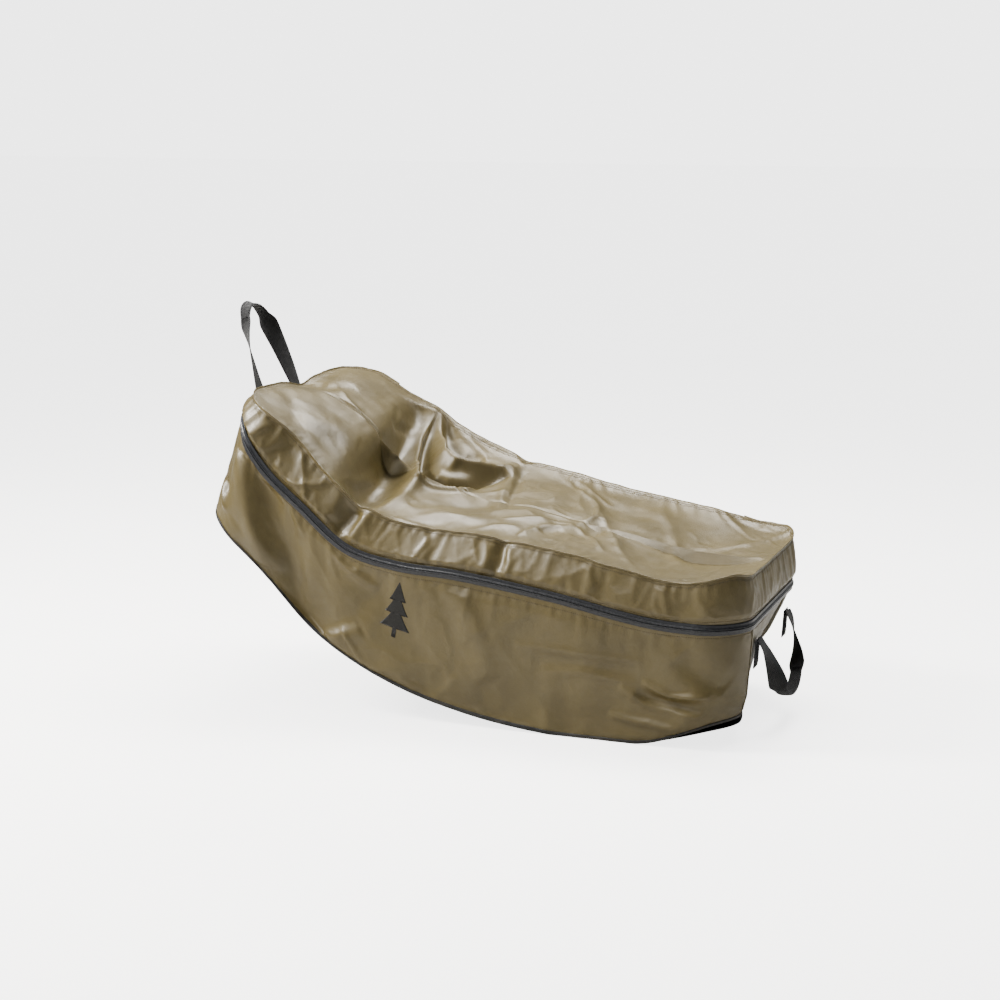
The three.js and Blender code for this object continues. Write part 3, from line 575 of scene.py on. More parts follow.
def resampled(grid, places, axis):
    """Values of a grid at fractional places along one axis, by a smooth cubic."""
    whole = np.clip(np.floor(places).astype(int), 0, grid.shape[axis] - 1)
    t = places - whole
    weights = (-0.5 * t + t ** 2 - 0.5 * t ** 3, 1 - 2.5 * t ** 2 + 1.5 * t ** 3,
               0.5 * t + 2 * t ** 2 - 1.5 * t ** 3, -0.5 * t ** 2 + 0.5 * t ** 3)
    shape = [1] * grid.ndim
    shape[axis] = len(places)
    last = grid.shape[axis] - 1
    return sum(w.reshape(shape) * np.take(grid, np.clip(whole - 1 + k, 0, last), axis)
               for k, w in enumerate(weights))


def settled(points, closed, pinned, growth, frames, gravity, bending):
    """Where a slack sheet goes when it is that much larger than the place it is pinned in."""
    rows, columns = points.shape[:2]
    piece = add_mesh("slack_sheet", points.reshape(-1, 3), grid_faces(rows, columns, closed))
    group = piece.vertex_groups.new(name="pinned")
    for index, weight in enumerate(pinned.ravel()):
        if weight > 0:
            group.add([index], float(weight), "REPLACE")
    cloth = piece.modifiers.new("cloth", "CLOTH")
    settings = cloth.settings
    settings.quality = 5
    settings.mass = 0.30
    settings.air_damping = 4
    settings.tension_stiffness = settings.compression_stiffness = 30
    settings.shear_stiffness = 12
    settings.bending_stiffness = bending
    settings.vertex_group_mass = "pinned"
    settings.shrink_min = -growth
    settings.effector_weights.gravity = gravity
    cloth.collision_settings.use_collision = False
    cloth.collision_settings.use_self_collision = False
    for step in range(1, frames + 1):
        bpy.context.scene.frame_set(step)
    depsgraph = bpy.context.evaluated_depsgraph_get()
    result = np.zeros(rows * columns * 3)
    piece.evaluated_get(depsgraph).data.vertices.foreach_get("co", result)
    bpy.data.objects.remove(piece)
    bpy.context.scene.frame_set(1)
    return result.reshape(points.shape)


def slacken(cloth, pins, growth, share, every=2, frames=16, gravity=0.3, bending=0.5,
            cap=0.016):
    """Adds natural wrinkles: a coarser grid is simulated, and the rest follows smoothly."""
    rows = np.unique(np.r_[np.arange(0, len(cloth.rows), every), len(cloth.rows) - 1])
    columns = np.arange(0, len(cloth.columns), every)
    if not cloth.closed:
        columns = np.unique(np.r_[columns, len(cloth.columns) - 1])
    coarse = cloth.points[np.ix_(rows, columns)]
    shift = settled(coarse, cloth.closed, pins[np.ix_(rows, columns)], growth, frames, gravity,
                    bending) - coarse
    size = np.linalg.norm(shift, axis=-1, keepdims=True)
    shift *= cap * np.tanh(size / cap) / np.maximum(size, 1e-9)
    row_places = np.interp(np.arange(len(cloth.rows)), rows, np.arange(len(rows)))
    if cloth.closed:
        shift = np.concatenate([shift[:, -2:], shift, shift[:, :3]], axis=1)
        known = np.concatenate([columns[-2:] - len(cloth.columns), columns,
                                columns[:3] + len(cloth.columns)])
    else:
        known = columns
    column_places = np.interp(np.arange(len(cloth.columns)), known, np.arange(len(known)))
    shift = resampled(resampled(shift, row_places, 0), column_places, 1)
    points = cloth.points + shift * share
    return Cloth(cloth.columns, cloth.rows, points, cloth.closed)


def edge_pins(cloth, low, high, sides=0):
    """Pin weights: so many rows at the foot and at the top, and columns at both ends."""
    pins = np.zeros(cloth.points.shape[:2])
    pins[:low] = 1
    pins[len(pins) - high:] = 1
    if sides:
        pins[:, :sides] = 1
        pins[:, -sides:] = 1
    return pins


# ---- Meshes --------------------------------------------------------------------------------


def grid_faces(rows, columns, closed):
    index = np.arange(rows * columns).reshape(rows, columns)
    if closed:
        index = np.concatenate([index, index[:, :1]], axis=1)
    a, b = index[:-1, :-1], index[:-1, 1:]
    c, d = index[1:, 1:], index[1:, :-1]
    return np.stack([a, d, c, b], -1).reshape(-1, 4)


def add_mesh(name, vertices, faces, uv=None, material=None, shade_smooth=True):
    mesh = bpy.data.meshes.new(name)
    mesh.from_pydata(np.asarray(vertices).tolist(), [], [list(map(int, f)) for f in faces])
    if uv is not None:
        layer = mesh.uv_layers.new(name="UVMap")
        corner = np.zeros(len(mesh.loops), int)
        mesh.loops.foreach_get("vertex_index", corner)
        layer.data.foreach_set("uv", np.asarray(uv, np.float32)[corner].ravel())
    mesh.polygons.foreach_set("use_smooth", [shade_smooth] * len(mesh.polygons))
    mesh.update()
    obj = bpy.data.objects.new(name, mesh)
    bpy.context.scene.collection.objects.link(obj)
    if material:
        for m in material if isinstance(material, (list, tuple)) else [material]:
            mesh.materials.append(m)
    return obj


def grid_mesh(name, points, uv, material, closed=False):
    rows, columns = points.shape[:2]
    return add_mesh(name, points.reshape(-1, 3), grid_faces(rows, columns, closed),
                    uv.reshape(-1, 2), material)


def thicken(obj, thickness, offset=-1.0, inner=0):
    """Gives a sheet its thickness, with another material on its inner side."""
    solid = obj.modifiers.new("thickness", "SOLIDIFY")
    solid.thickness = thickness
    solid.offset = offset
    solid.material_offset = inner
    return obj


def tube_faces(count, size):
    """Faces of a tube through so many closed sections, with both of its ends capped."""
    faces = [list(face) for face in grid_faces(count, size, True)]
    return faces + [list(range(size)), list(range((count - 1) * size, count * size))[::-1]]


def tube_uv(along, around):
    return np.stack(np.meshgrid(along, around, indexing="ij"), -1).reshape(-1, 2)


def closed_section(centres, across, upward, section):
    """Vertices and faces of a section swept along centres; the section is closed."""
    section = np.asarray(section)
    vertices = (centres[:, None] + across[:, None] * section[None, :, :1]
                + upward[:, None] * section[None, :, 1:])
    return vertices.reshape(-1, 3), tube_faces(len(centres), len(section))


def threads(name, runs, material, length=STITCH_LENGTH, pitch=STITCH_PITCH,
            radius=THREAD_RADIUS):
    """A mesh of sewn stitches along runs of (points, outward directions)."""
    # one stitch: [share of its length from its middle, share of its radius]
    shape = [(-0.5, 0.25), (-0.42, 0.85), (-0.2, 1.0), (0.2, 1.0), (0.42, 0.85), (0.5, 0.25)]
    sides = 5
    shell = tube_faces(len(shape), sides)
    vertices, faces = [], []
    for points, outward in runs:
        distance = run_length(points)
        middle = np.arange(pitch, distance[-1] - pitch / 2, pitch)

        def read(values, where):
            return np.stack([np.interp(where, distance, values[:, i]) for i in range(3)], -1)

        forward = unit(read(points, middle + length / 2) - read(points, middle - length / 2))
        centre = read(points, middle)
        normal = read(outward, middle)
        normal = unit(normal - forward * (forward * normal).sum(-1, keepdims=True))
        side = np.cross(forward, normal)
        turn = np.linspace(0, 2 * np.pi, sides, endpoint=False)
        for f, c, n, s in zip(forward, centre, normal, side):
            base = len(vertices)
            for share, size in shape:
                lift = radius * (0.55 - 1.6 * abs(share) ** 2)
                for angle in turn:
                    vertices.append(c + f * share * length + n * lift
                                    + radius * size * (s * math.cos(angle) + n * math.sin(angle)))
            faces += [[base + int(i) for i in face] for face in shell]
    return add_mesh(name, vertices, faces, None, material)


# ---- Materials -----------------------------------------------------------------------------


class Shader:
    """A node material, built up by short calls."""

    def __init__(self, name):
        self.material = bpy.data.materials.new(name)
        self.material.use_nodes = True
        self.tree = self.material.node_tree
        self.surface = self.tree.nodes["Principled BSDF"]
        self.uv = self.tree.nodes.new("ShaderNodeUVMap").outputs["UV"]
        self.place = self.tree.nodes.new("ShaderNodeTexCoord").outputs["Object"]

    def link(self, out, socket):
        self.tree.links.new(out, socket)

    def put(self, value, socket):
        """Links an output to a socket, or gives the socket a plain number or colour."""
        if hasattr(value, "is_linked"):
            self.link(value, socket)
        else:
            socket.default_value = (*value, 1) if hasattr(value, "__len__") else value

    def set(self, name, value):
        self.put(value, self.surface.inputs[name])

    def noise(self, where, scale, detail, roughness=0.55, distortion=0.0):
        node = self.tree.nodes.new("ShaderNodeTexNoise")
        for key, value in (("Scale", scale), ("Detail", detail), ("Roughness", roughness),
                           ("Distortion", distortion)):
            node.inputs[key].default_value = value
        self.link(where, node.inputs["Vector"])
        return node.outputs["Fac"]

    def wave(self, where, pitch, direction, distortion=0.0):
        node = self.tree.nodes.new("ShaderNodeTexWave")
        node.bands_direction = direction
        node.inputs["Scale"].default_value = math.pi / 10 / pitch
        node.inputs["Distortion"].default_value = distortion
        self.link(where, node.inputs["Vector"])
        return node.outputs["Fac"]

    def maths(self, operation, a, b):
        node = self.tree.nodes.new("ShaderNodeMath")
        node.operation = operation
        for socket, value in zip(node.inputs, (a, b)):
            self.put(value, socket)
        return node.outputs[0]

    def ramp(self, fac, stops):
        node = self.tree.nodes.new("ShaderNodeValToRGB")
        elements = node.color_ramp.elements
        while len(elements) < len(stops):
            elements.new(0.5)
        for element, (position, colour) in zip(elements, stops):
            element.position = position
            element.color = (*colour, 1) if hasattr(colour, "__len__") else (colour,) * 3 + (1,)
        self.link(fac, node.inputs["Fac"])
        return node.outputs["Color"]

    def mix(self, fac, a, b, kind="MIX"):
        node = self.tree.nodes.new("ShaderNodeMix")
        node.data_type = "RGBA"
        node.blend_type = kind
        for socket, value in zip((node.inputs[0], node.inputs[6], node.inputs[7]), (fac, a, b)):
            self.put(value, socket)
        return node.outputs[2]

    def range(self, value, low, high, start=0.3, end=0.7):
        node = self.tree.nodes.new("ShaderNodeMapRange")
        for key, number in (("From Min", start), ("From Max", end), ("To Min", low),
                            ("To Max", high)):
            node.inputs[key].default_value = number
        self.link(value, node.inputs["Value"])
        return node.outputs["Result"]

    def done(self, tone, roughness, layers):
        """Sets colour, roughness and (height, strength, distance) bumps, one upon the other."""
        self.set("Base Color", tone)
        self.set("Roughness", roughness)
        under = None
        for height, strength, distance in layers:
            node = self.tree.nodes.new("ShaderNodeBump")
            node.inputs["Strength"].default_value = strength
            node.inputs["Distance"].default_value = distance
            self.link(height, node.inputs["Height"])
            if under:
                self.link(under, node.inputs["Normal"])
            under = node.outputs["Normal"]
        self.set("Normal", under)
        return self.material


def scaled(colour, factor):
    return tuple(c * factor for c in colour)


OLIVE = (0.116, 0.0905, 0.037)
SEAM_OLIVE = (0.104, 0.082, 0.034)
BLACK = (0.014, 0.014, 0.014)


def coated_fabric(name, colour, roughness=0.41, dust=0.04):
    """Woven fabric under a semi-gloss coating: mottled, a little dusty, fine weave showing."""
    s = Shader(name)
    mottle = s.noise(s.uv, 7, 6, 0.6, 0.4)
    tone = s.ramp(mottle, [(0.28, scaled(colour, 0.82)), (0.5, colour),
                           (0.74, scaled(colour, 1.16))])
    grain = s.range(s.noise(s.uv, 900, 3), 0.90, 1.10)
    tone = s.mix(1.0, tone, s.ramp(grain, [(0.0, 0.0), (1.0, 1.0)]), "MULTIPLY")
    smudge = s.range(s.noise(s.uv, 17, 7, 0.68, 1.1), 0, dust, 0.50, 0.78)
    tone = s.mix(smudge, tone, (0.36, 0.32, 0.24))
    stain = s.range(s.noise(s.uv, 4.2, 5, 0.6, 0.8), 0, 0.18, 0.55, 0.80)
    tone = s.mix(stain, tone, scaled(colour, 0.55))
    patchy = s.range(s.noise(s.uv, 23, 5, 0.6), roughness - 0.07, roughness + 0.10)
    s.set("Specular IOR Level", 0.60)
    s.set("Coat Weight", 0.12)
    s.set("Coat Roughness", 0.30)
    weave = s.maths("MULTIPLY", s.wave(s.uv, 0.0011, "X", 0.5), s.wave(s.uv, 0.0011, "Y", 0.5))
    return s.done(tone, patchy, [(s.noise(s.uv, 45, 4, 0.6, 0.6), 0.30, 0.0014),
                                 (s.noise(s.uv, 240, 3, 0.6), 0.20, 0.0004),
                                 (weave, 0.25, 0.0002)])


def lining():
    """The uncoated, greyer inner face of the fabric."""
    s = Shader("inner_lining")
    tone = s.ramp(s.noise(s.uv, 9, 5), [(0.3, (0.095, 0.09, 0.078)), (0.7, (0.15, 0.142, 0.122))])
    weave = s.maths("MULTIPLY", s.wave(s.uv, 0.0012, "X"), s.wave(s.uv, 0.0012, "Y"))
    return s.done(tone, 0.75, [(weave, 0.5, 0.0004)])


def base_cloth():
    """Heavy black coated fabric with a pebbled face and floor dust along it."""
    s = Shader("base_cloth")
    tone = s.ramp(s.noise(s.uv, 30, 6, 0.65), [(0.35, scaled(BLACK, 0.8)),
                                               (0.7, scaled(BLACK, 1.9))])
    dust = s.range(s.noise(s.uv, 8, 6, 0.65, 1.0), 0, 0.35, 0.45, 0.8)
    tone = s.mix(dust, tone, (0.13, 0.115, 0.09))
    return s.done(tone, 0.5, [(s.noise(s.uv, 420, 4, 0.6), 0.6, 0.0006)])


def zip_rubber():
    """Urethane-coated zip tape: near black, smooth, with fine scuffs along it."""
    s = Shader("zip_rubber")
    tone = s.ramp(s.noise(s.uv, 120, 5, 0.6), [(0.3, (0.014, 0.015, 0.018)),
                                               (0.75, (0.035, 0.037, 0.042))])
    scuff = s.noise(s.uv, 260, 4, 0.7)
    s.set("Specular IOR Level", 0.6)
    rib = s.wave(s.uv, 0.0016, "X")
    return s.done(tone, s.range(scuff, 0.24, 0.42), [(rib, 0.25, 0.0003), (scuff, 0.2, 0.0002)])


def webbing_cloth():
    """Ribbed polyester webbing: matt black, with a herringbone weave and paler worn fibres."""
    s = Shader("webbing_cloth")
    left = s.tree.nodes.new("ShaderNodeMapping")
    left.inputs["Rotation"].default_value = (0, 0, math.radians(38))
    s.link(s.uv, left.inputs["Vector"])
    twill = s.wave(left.outputs["Vector"], 0.0021, "X", 0.3)
    cross = s.wave(s.uv, 0.0017, "X", 0.4)
    weave = s.maths("MULTIPLY", twill, cross)
    wear = s.noise(s.uv, 90, 6, 0.7)
    tone = s.ramp(weave, [(0.0, (0.006, 0.006, 0.007)), (0.8, (0.026, 0.026, 0.028))])
    tone = s.mix(s.range(wear, 0, 0.3, 0.55, 0.85), tone, (0.06, 0.058, 0.054))
    s.set("Sheen Weight", 0.25)
    s.set("Sheen Roughness", 0.4)
    return s.done(tone, 0.78, [(weave, 0.9, 0.0007), (s.noise(s.uv, 1500, 2), 0.3, 0.0002)])


def thread_cloth(name, colour):
    s = Shader(name)
    tone = s.ramp(s.noise(s.place, 700, 3), [(0.3, scaled(colour, 0.7)),
                                             (0.7, scaled(colour, 1.3))])
    return s.done(tone, 0.6, [(s.noise(s.place, 2500, 2), 0.4, 0.0002)])


def moulded_plastic():
    s = Shader("moulded_plastic")
    tone = s.ramp(s.noise(s.place, 200, 4), [(0.3, (0.016, 0.017, 0.019)),
                                             (0.7, (0.03, 0.031, 0.034))])
    polish = s.range(s.noise(s.place, 900, 3), 0.36, 0.5)
    return s.done(tone, polish, [(s.noise(s.place, 1800, 2), 0.25, 0.0002)])


def painted_metal():
    s = Shader("painted_metal")
    worn = s.range(s.noise(s.place, 420, 6, 0.7), 0, 1, 0.60, 0.70)
    tone = s.mix(worn, (0.024, 0.024, 0.027), (0.24, 0.235, 0.22))
    s.set("Metallic", worn)
    return s.done(tone, 0.36, [(s.noise(s.place, 1200, 3), 0.2, 0.0002)])


def print_ink():
    """Flexible black ink on the coated fabric, cracked a little."""
    s = Shader("print_ink")
    tone = s.ramp(s.noise(s.uv, 400, 5, 0.7), [(0.35, (0.008, 0.008, 0.008)),
                                               (0.75, (0.024, 0.022, 0.018))])
    return s.done(tone, 0.55, [(s.noise(s.uv, 500, 4), 0.3, 0.0003)])


cloth_outer = coated_fabric("coated_cloth", OLIVE)
cloth_seam = coated_fabric("seam_cloth", SEAM_OLIVE, 0.36, 0.05)
cloth_inner = lining()
cloth_base = base_cloth()
rubber = zip_rubber()
webbing = webbing_cloth()
olive_thread = thread_cloth("olive_thread", (0.105, 0.082, 0.045))
black_thread = thread_cloth("black_thread", (0.03, 0.03, 0.032))
plastic = moulded_plastic()
metal = painted_metal()
ink = print_ink()

# ---- Pieces --------------------------------------------------------------------------------


def stands_for(nodes):
    if nodes:
        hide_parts(*nodes)


def rides(piece, body, slot, *nodes):
    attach(piece, body)
    stands_for(nodes)


def on_bag(piece, slot, *nodes):
    rides(piece, "bag", slot, *nodes)


def on_lid(piece, slot, *nodes):
    """Bakes a lid piece's placement into its mesh and hides the CAD nodes it stands for."""
    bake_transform(piece)
    stands_for(nodes)


walls = build_walls()
band = build_band()
lid_along, lid_y, lid_top = build_lid_top()


# The end walls and the head half of the lid are tight, so they take less of the wrinkles.
_, round_y = outline(ring)
calm_ends = 0.38 - 0.34 * smooth((HALF_END + 0.03 - np.abs(round_y)) / 0.06)
walls = slacken(walls, edge_pins(walls, 2, 8), 0.014, every=3, frames=18, bending=1.5,
                share=calm_ends[None, :, None])
band = slacken(band, edge_pins(band, 5, 2), 0.020, cap=0.009, share=0.4)
calm_head = (1 - 0.92 * smooth((lid_along - 0.88) / 0.12))[..., None]
lid_top = slacken(lid_top, edge_pins(lid_top, 1, 1, 1), 0.014, frames=18, gravity=0.5,
                  bending=1.0, share=calm_head)


def ring_piece(name, cloth, first, last, tall):
    """A stretch of a ring of cloth so tall, from one distance round to another."""
    gap = 1e-6
    inside = cloth.columns[(cloth.columns > first + gap) & (cloth.columns < last - gap)]
    wrapped = cloth.columns[cloth.columns < last - ROUND - gap] + ROUND
    columns = np.concatenate([[first], inside, wrapped, [last]])
    c, r = np.meshgrid(columns, cloth.rows)
    points = cloth.at(c, r)
    uv = np.stack([c, r * tall], -1)
    piece = grid_mesh(name, points, uv, [cloth_outer, cloth_inner])
    return thicken(piece, FABRIC, inner=1)


def build_wall_pieces():
    head_start, far_start = STARTS[4], STARTS[5]
    for name, first, last, node in (
            ("tail_end_cloth", STARTS[0], STARTS[1], "tail_end_wall"),
            ("front_cloth", STARTS[1], head_start, "front_wall"),
            ("head_end_cloth", head_start, far_start, "head_end_wall"),
            ("back_cloth", far_start, ROUND, "back_wall")):
        on_bag(ring_piece(name, walls, first, last, WALL_HEIGHT), "coated_fabric", node)


def build_band_pieces():
    hinge_start, hinge_end = ZIP_END, STARTS[7] - ZIP_OVERRUN
    for name, first, last, node in (
            ("lid_front_cloth", STARTS[1], STARTS[4], "lid_front_band"),
            ("lid_head_cloth", STARTS[4], hinge_start, "lid_head_band"),
            ("lid_tail_cloth", hinge_end, STARTS[1] + ROUND, "lid_tail_band")):
        on_lid(ring_piece(name, band, first, last, LID_DEPTH), "coated_fabric", node)
    strip = ring_piece("hinge_strip_cloth", band, hinge_start, hinge_end, LID_DEPTH)
    on_bag(strip, "coated_fabric", "lid_hinge_strip")
    foot = np.linspace(-0.010, 0.010, 7)
    columns = ring[(ring > hinge_start + 0.012) & (ring < hinge_end - 0.012)]
    d, c = np.meshgrid(foot, columns, indexing="ij")
    along, y = outline(c)
    low = on_level(ZIP, along, y)
    target = np.where(d[..., None] > 0, on_level(LID, along, y), on_level(BASE, along, y))
    points = low + np.abs(d)[..., None] * unit(target - low)
    points = points + 0.0006 * normals(points)
    tape = grid_mesh("hinge_seam_tape", points, np.stack([c, d], -1), cloth_seam)
    on_bag(thicken(tape, 0.0007, 1.0), "seam_tape")


def build_lid_top_piece():
    uv = np.stack([lid_along, lid_y], -1)
    piece = grid_mesh("lid_top_cloth", lid_top.points, uv, [cloth_outer, cloth_inner])
    on_lid(thicken(piece, FABRIC, inner=1), "coated_fabric", "lid_top_panel")


def build_base():
    along, y, across = plan_grid(0.001, 61, 0.009)
    points = on_level(BASE, along, y)
    rim = 1 - smooth(1 - np.abs(across))
    end = smooth((EDGE_LENGTH - along) / SAG_RUN)
    points[..., 2] -= np.minimum(points[..., 2], BELLY_SAG) * (1 - rim) * end
    points += heel(along, y) * (1 + HEEL_LEAN * smooth((along - 0.5) / 0.2))[..., None]
    points[..., 2] += 0.0012 + 0.0015 * (1 + noise(along, y, 0.07, 31)) * smooth(rim)
    piece = grid_mesh("base_cloth_panel", points[::-1], np.stack([along, y], -1)[::-1], cloth_base)
    on_bag(thicken(piece, BASE_FABRIC), "base_fabric",
           "base_panel_near", "base_panel_middle", "base_panel_far")


def strip_on_walls(name, columns, rows, material, thickness, closed=False):
    """A thin strip welded on the ring of walls."""
    c, r = np.meshgrid(columns, rows)
    points = walls.at(c, r, STRIP_PROUD)
    uv = np.stack([c, r * WALL_HEIGHT], -1)
    piece = grid_mesh(name, points, uv, material, closed)
    return thicken(piece, thickness, 1.0)


def build_binding():
    rows = np.linspace(0.001, 0.030, 5)
    piece = strip_on_walls("base_binding_cloth", ring, rows, cloth_base, 0.0010, True)
    on_bag(piece, "base_fabric", "base_binding")


def build_corner_tapes():
    places = {"tail_near": STARTS[1], "head_near": STARTS[4], "head_far": STARTS[5],
              "tail_far": STARTS[0]}
    rows = np.linspace(0.062, 0.955, 60)
    for name, place in places.items():
        columns = place + np.linspace(-0.008, 0.008, 9)
        strip = strip_on_walls(f"corner_tape_{name}_cloth", columns, rows, cloth_seam, 0.0008)
        on_bag(strip, "seam_tape", f"corner_tape_{name}")


def zip_frame(columns):
    """The zip line, with its outward and upward directions."""
    along, y = outline(columns)
    line = on_level(ZIP, along, y)
    up = unit(on_level(LID, along, y) - on_level(BASE, along, y))
    forward = unit(np.gradient(line, axis=0))
    outward = unit(np.cross(up, forward))
    return line, outward, np.cross(forward, outward)


def build_zip():
    """Two coated lips that meet over the teeth, each on its own side of the opening."""
    columns = np.arange(ZIP_START + ZIP_STOP, ZIP_END - ZIP_STOP, 0.0022)
    line, outward, up = zip_frame(columns)
    # the lip's section: [distance from the zip's middle, height over the fabric]
    lip = [(0.0003, 0.0006), (0.0004, 0.0026), (0.0009, 0.0034), (0.0019, 0.0036),
           (0.0028, 0.0030), (0.0036, 0.0020), (0.0048, 0.0015), (0.0080, 0.0013),
           (0.0104, 0.0012), (0.0109, 0.0008), (0.0109, 0.0002), (0.0060, 0.0001)]
    teeth = 1 + 0.05 * np.sin(2 * np.pi * columns / 0.0088)
    for name, sign, place in (("lower", -1, on_bag), ("upper", 1, on_lid)):
        section = np.array([(sign * d, h) for d, h in lip])
        if sign > 0:
            section = section[::-1]
        vertices, faces = closed_section(line, up, outward * teeth[:, None], section)
        uv = tube_uv(columns, run_length(section))
        piece = add_mesh(f"zip_{name}_lip", vertices, faces, uv, rubber)
        place(piece, "zip_tape", f"zip_tape_{name}", f"zip_coil_{name}")


def sewn_line(cloth, columns, row):
    """A line just proud of a cloth, with its outward directions."""
    proud = cloth.at(columns, row, 0.0003)
    return proud, unit(proud - cloth.at(columns, row))


def build_stitches():
    """Rows of thread beside the zip, along the lid's rim and inside its far edge."""
    columns = np.arange(ZIP_START, ZIP_END, SEAM_STEP)
    for name, cloth, row, place in (("stitches_under_zip", walls, 0.925, on_bag),
                                    ("stitches_over_zip", band, 0.165, on_lid),
                                    ("stitches_rim_band", band, 0.915, on_lid)):
        place(threads(name, [sewn_line(cloth, columns, row)], olive_thread), "seam_tape")
    last_row, places = len(lid_top.rows) - 1, np.arange(3, len(lid_top.columns) - 4, 0.5)
    runs = [sewn_line(lid_top, places, last_row - inside) for inside in (2.2, 3.6)]
    on_lid(threads("stitches_lid_far", runs, olive_thread), "seam_tape")


def build_rim_seam():
    """The doubled, folded edge that stands along the rim of the lid."""
    columns = np.arange(ZIP_START, ZIP_END + 0.001, SEAM_STEP)
    rim = band.at(columns, 1.0)
    below = band.at(columns, 0.88)
    forward = unit(np.gradient(rim, axis=0))
    down = unit(below - rim)
    outward = unit(np.cross(forward, down))
    middle = np.array([0.1, 0.0, 0.35])
    outward = np.where(((rim - middle) * outward).sum(-1, keepdims=True) < 0, -outward, outward)
    wobble = (0.0006 * noise(columns, 0 * columns, 0.03, 71))[:, None]
    centre = rim + outward * (0.0012 + wobble)
    lean = unit(-down * 0.75 + outward * 0.65)
    thick = np.cross(lean, forward)
    profile = [(-0.0050, 0.0006), (-0.0020, 0.0009), (0.0006, 0.0010), (0.0020, 0.0008),
               (0.0026, 0.0003), (0.0026, -0.0003), (0.0020, -0.0008), (0.0006, -0.0010),
               (-0.0020, -0.0009), (-0.0050, -0.0006)]
    vertices, faces = closed_section(centre, lean, thick, profile)
    uv = tube_uv(columns, run_length(profile))
    piece = add_mesh("lid_rim_fold", vertices, faces, uv, cloth_outer)
    on_lid(piece, "seam_tape", "lid_rim_seam")


# ---- Handles -------------------------------------------------------------------------------

HEAD_SPINE = [[-1, 0, 0], [-0.98, 0.020, 0.012], [-0.88, 0.070, 0.044], [-0.72, 0.125, 0.080],
              [-0.52, 0.168, 0.108], [-0.28, 0.190, 0.122], [0, 0.196, 0.126]]
HEAD_WIDTHS = [[1, 0, 0], [1, 0, 0], [0.95, 0, 0.3], [0.8, 0, 0.6], [0.4, -0.1, 0.9],
               [0.1, -0.1, 1], [0, 0, 1]]
TAIL_SPINE = [[-1, 0, 0], [-0.98, -0.012, 0.0075], [-0.93, -0.034, 0.0175],
              [-0.80, -0.076, 0.032], [-0.60, -0.112, 0.040], [-0.32, -0.132, 0.044],
              [0, -0.138, 0.045]]
TAIL_WIDTHS = [[1, 0, 0], [1, 0, 0], [0.97, 0, 0.2], [0.8, 0, 0.6], [0.4, 0.1, 0.9],
               [0.1, 0.1, 1], [0, 0, 1]]
HANDLE_RISE = 0.0034
HANDLE_STAND_OFF = 0.0058
HEAD_ANCHOR_SPACING, TAIL_ANCHOR_SPACING = 0.165, 0.265
HEAD_ANCHOR_TOP, TAIL_ANCHOR_TOP = 0.178, 0.200
HEAD_HANDLE_SHIFT = -0.015


def from_base(height, along, y):
    along, y = np.asarray(along, float), np.asarray(y, float)
    start = on_level(BASE, along, y)
    return start + height * unit(on_level(ZIP, along, y) - start)


def end_wall_frame(along, y, height, outward):
    """Origin and axes on an end wall: X along the wall, Y up it, Z out of it."""
    origin = from_base(height, along, y)
    side = outward * unit(from_base(height, along, y + 0.05) - from_base(height, along, y - 0.05))
    at = (np.array(along), np.array(y))
    up = unit(on_level(ZIP, *at) - on_level(BASE, *at))
    out = unit(np.cross(side, up))
    return origin, np.stack([side, np.cross(out, side), out])


def in_frame(place, points):
    origin, axes = place
    return origin + np.asarray(points, float) @ axes


def mirrored(half):
    return half + [[-x, y, z] for x, y, z in half[-2::-1]]


def webbing_section(width, thickness):
    """A flat band with rounded edges and shallow ribs along it."""
    ribs = 9
    across = np.linspace(-1, 1, 37)
    edge = np.clip(1 - np.abs(across) ** 10, 0.12, 1)
    height = thickness / 2 * edge + 0.00012 * np.cos(across * np.pi * ribs)
    top = np.stack([across * width / 2, height], -1)
    return np.concatenate([top, (top * (1, -1))[::-1]])


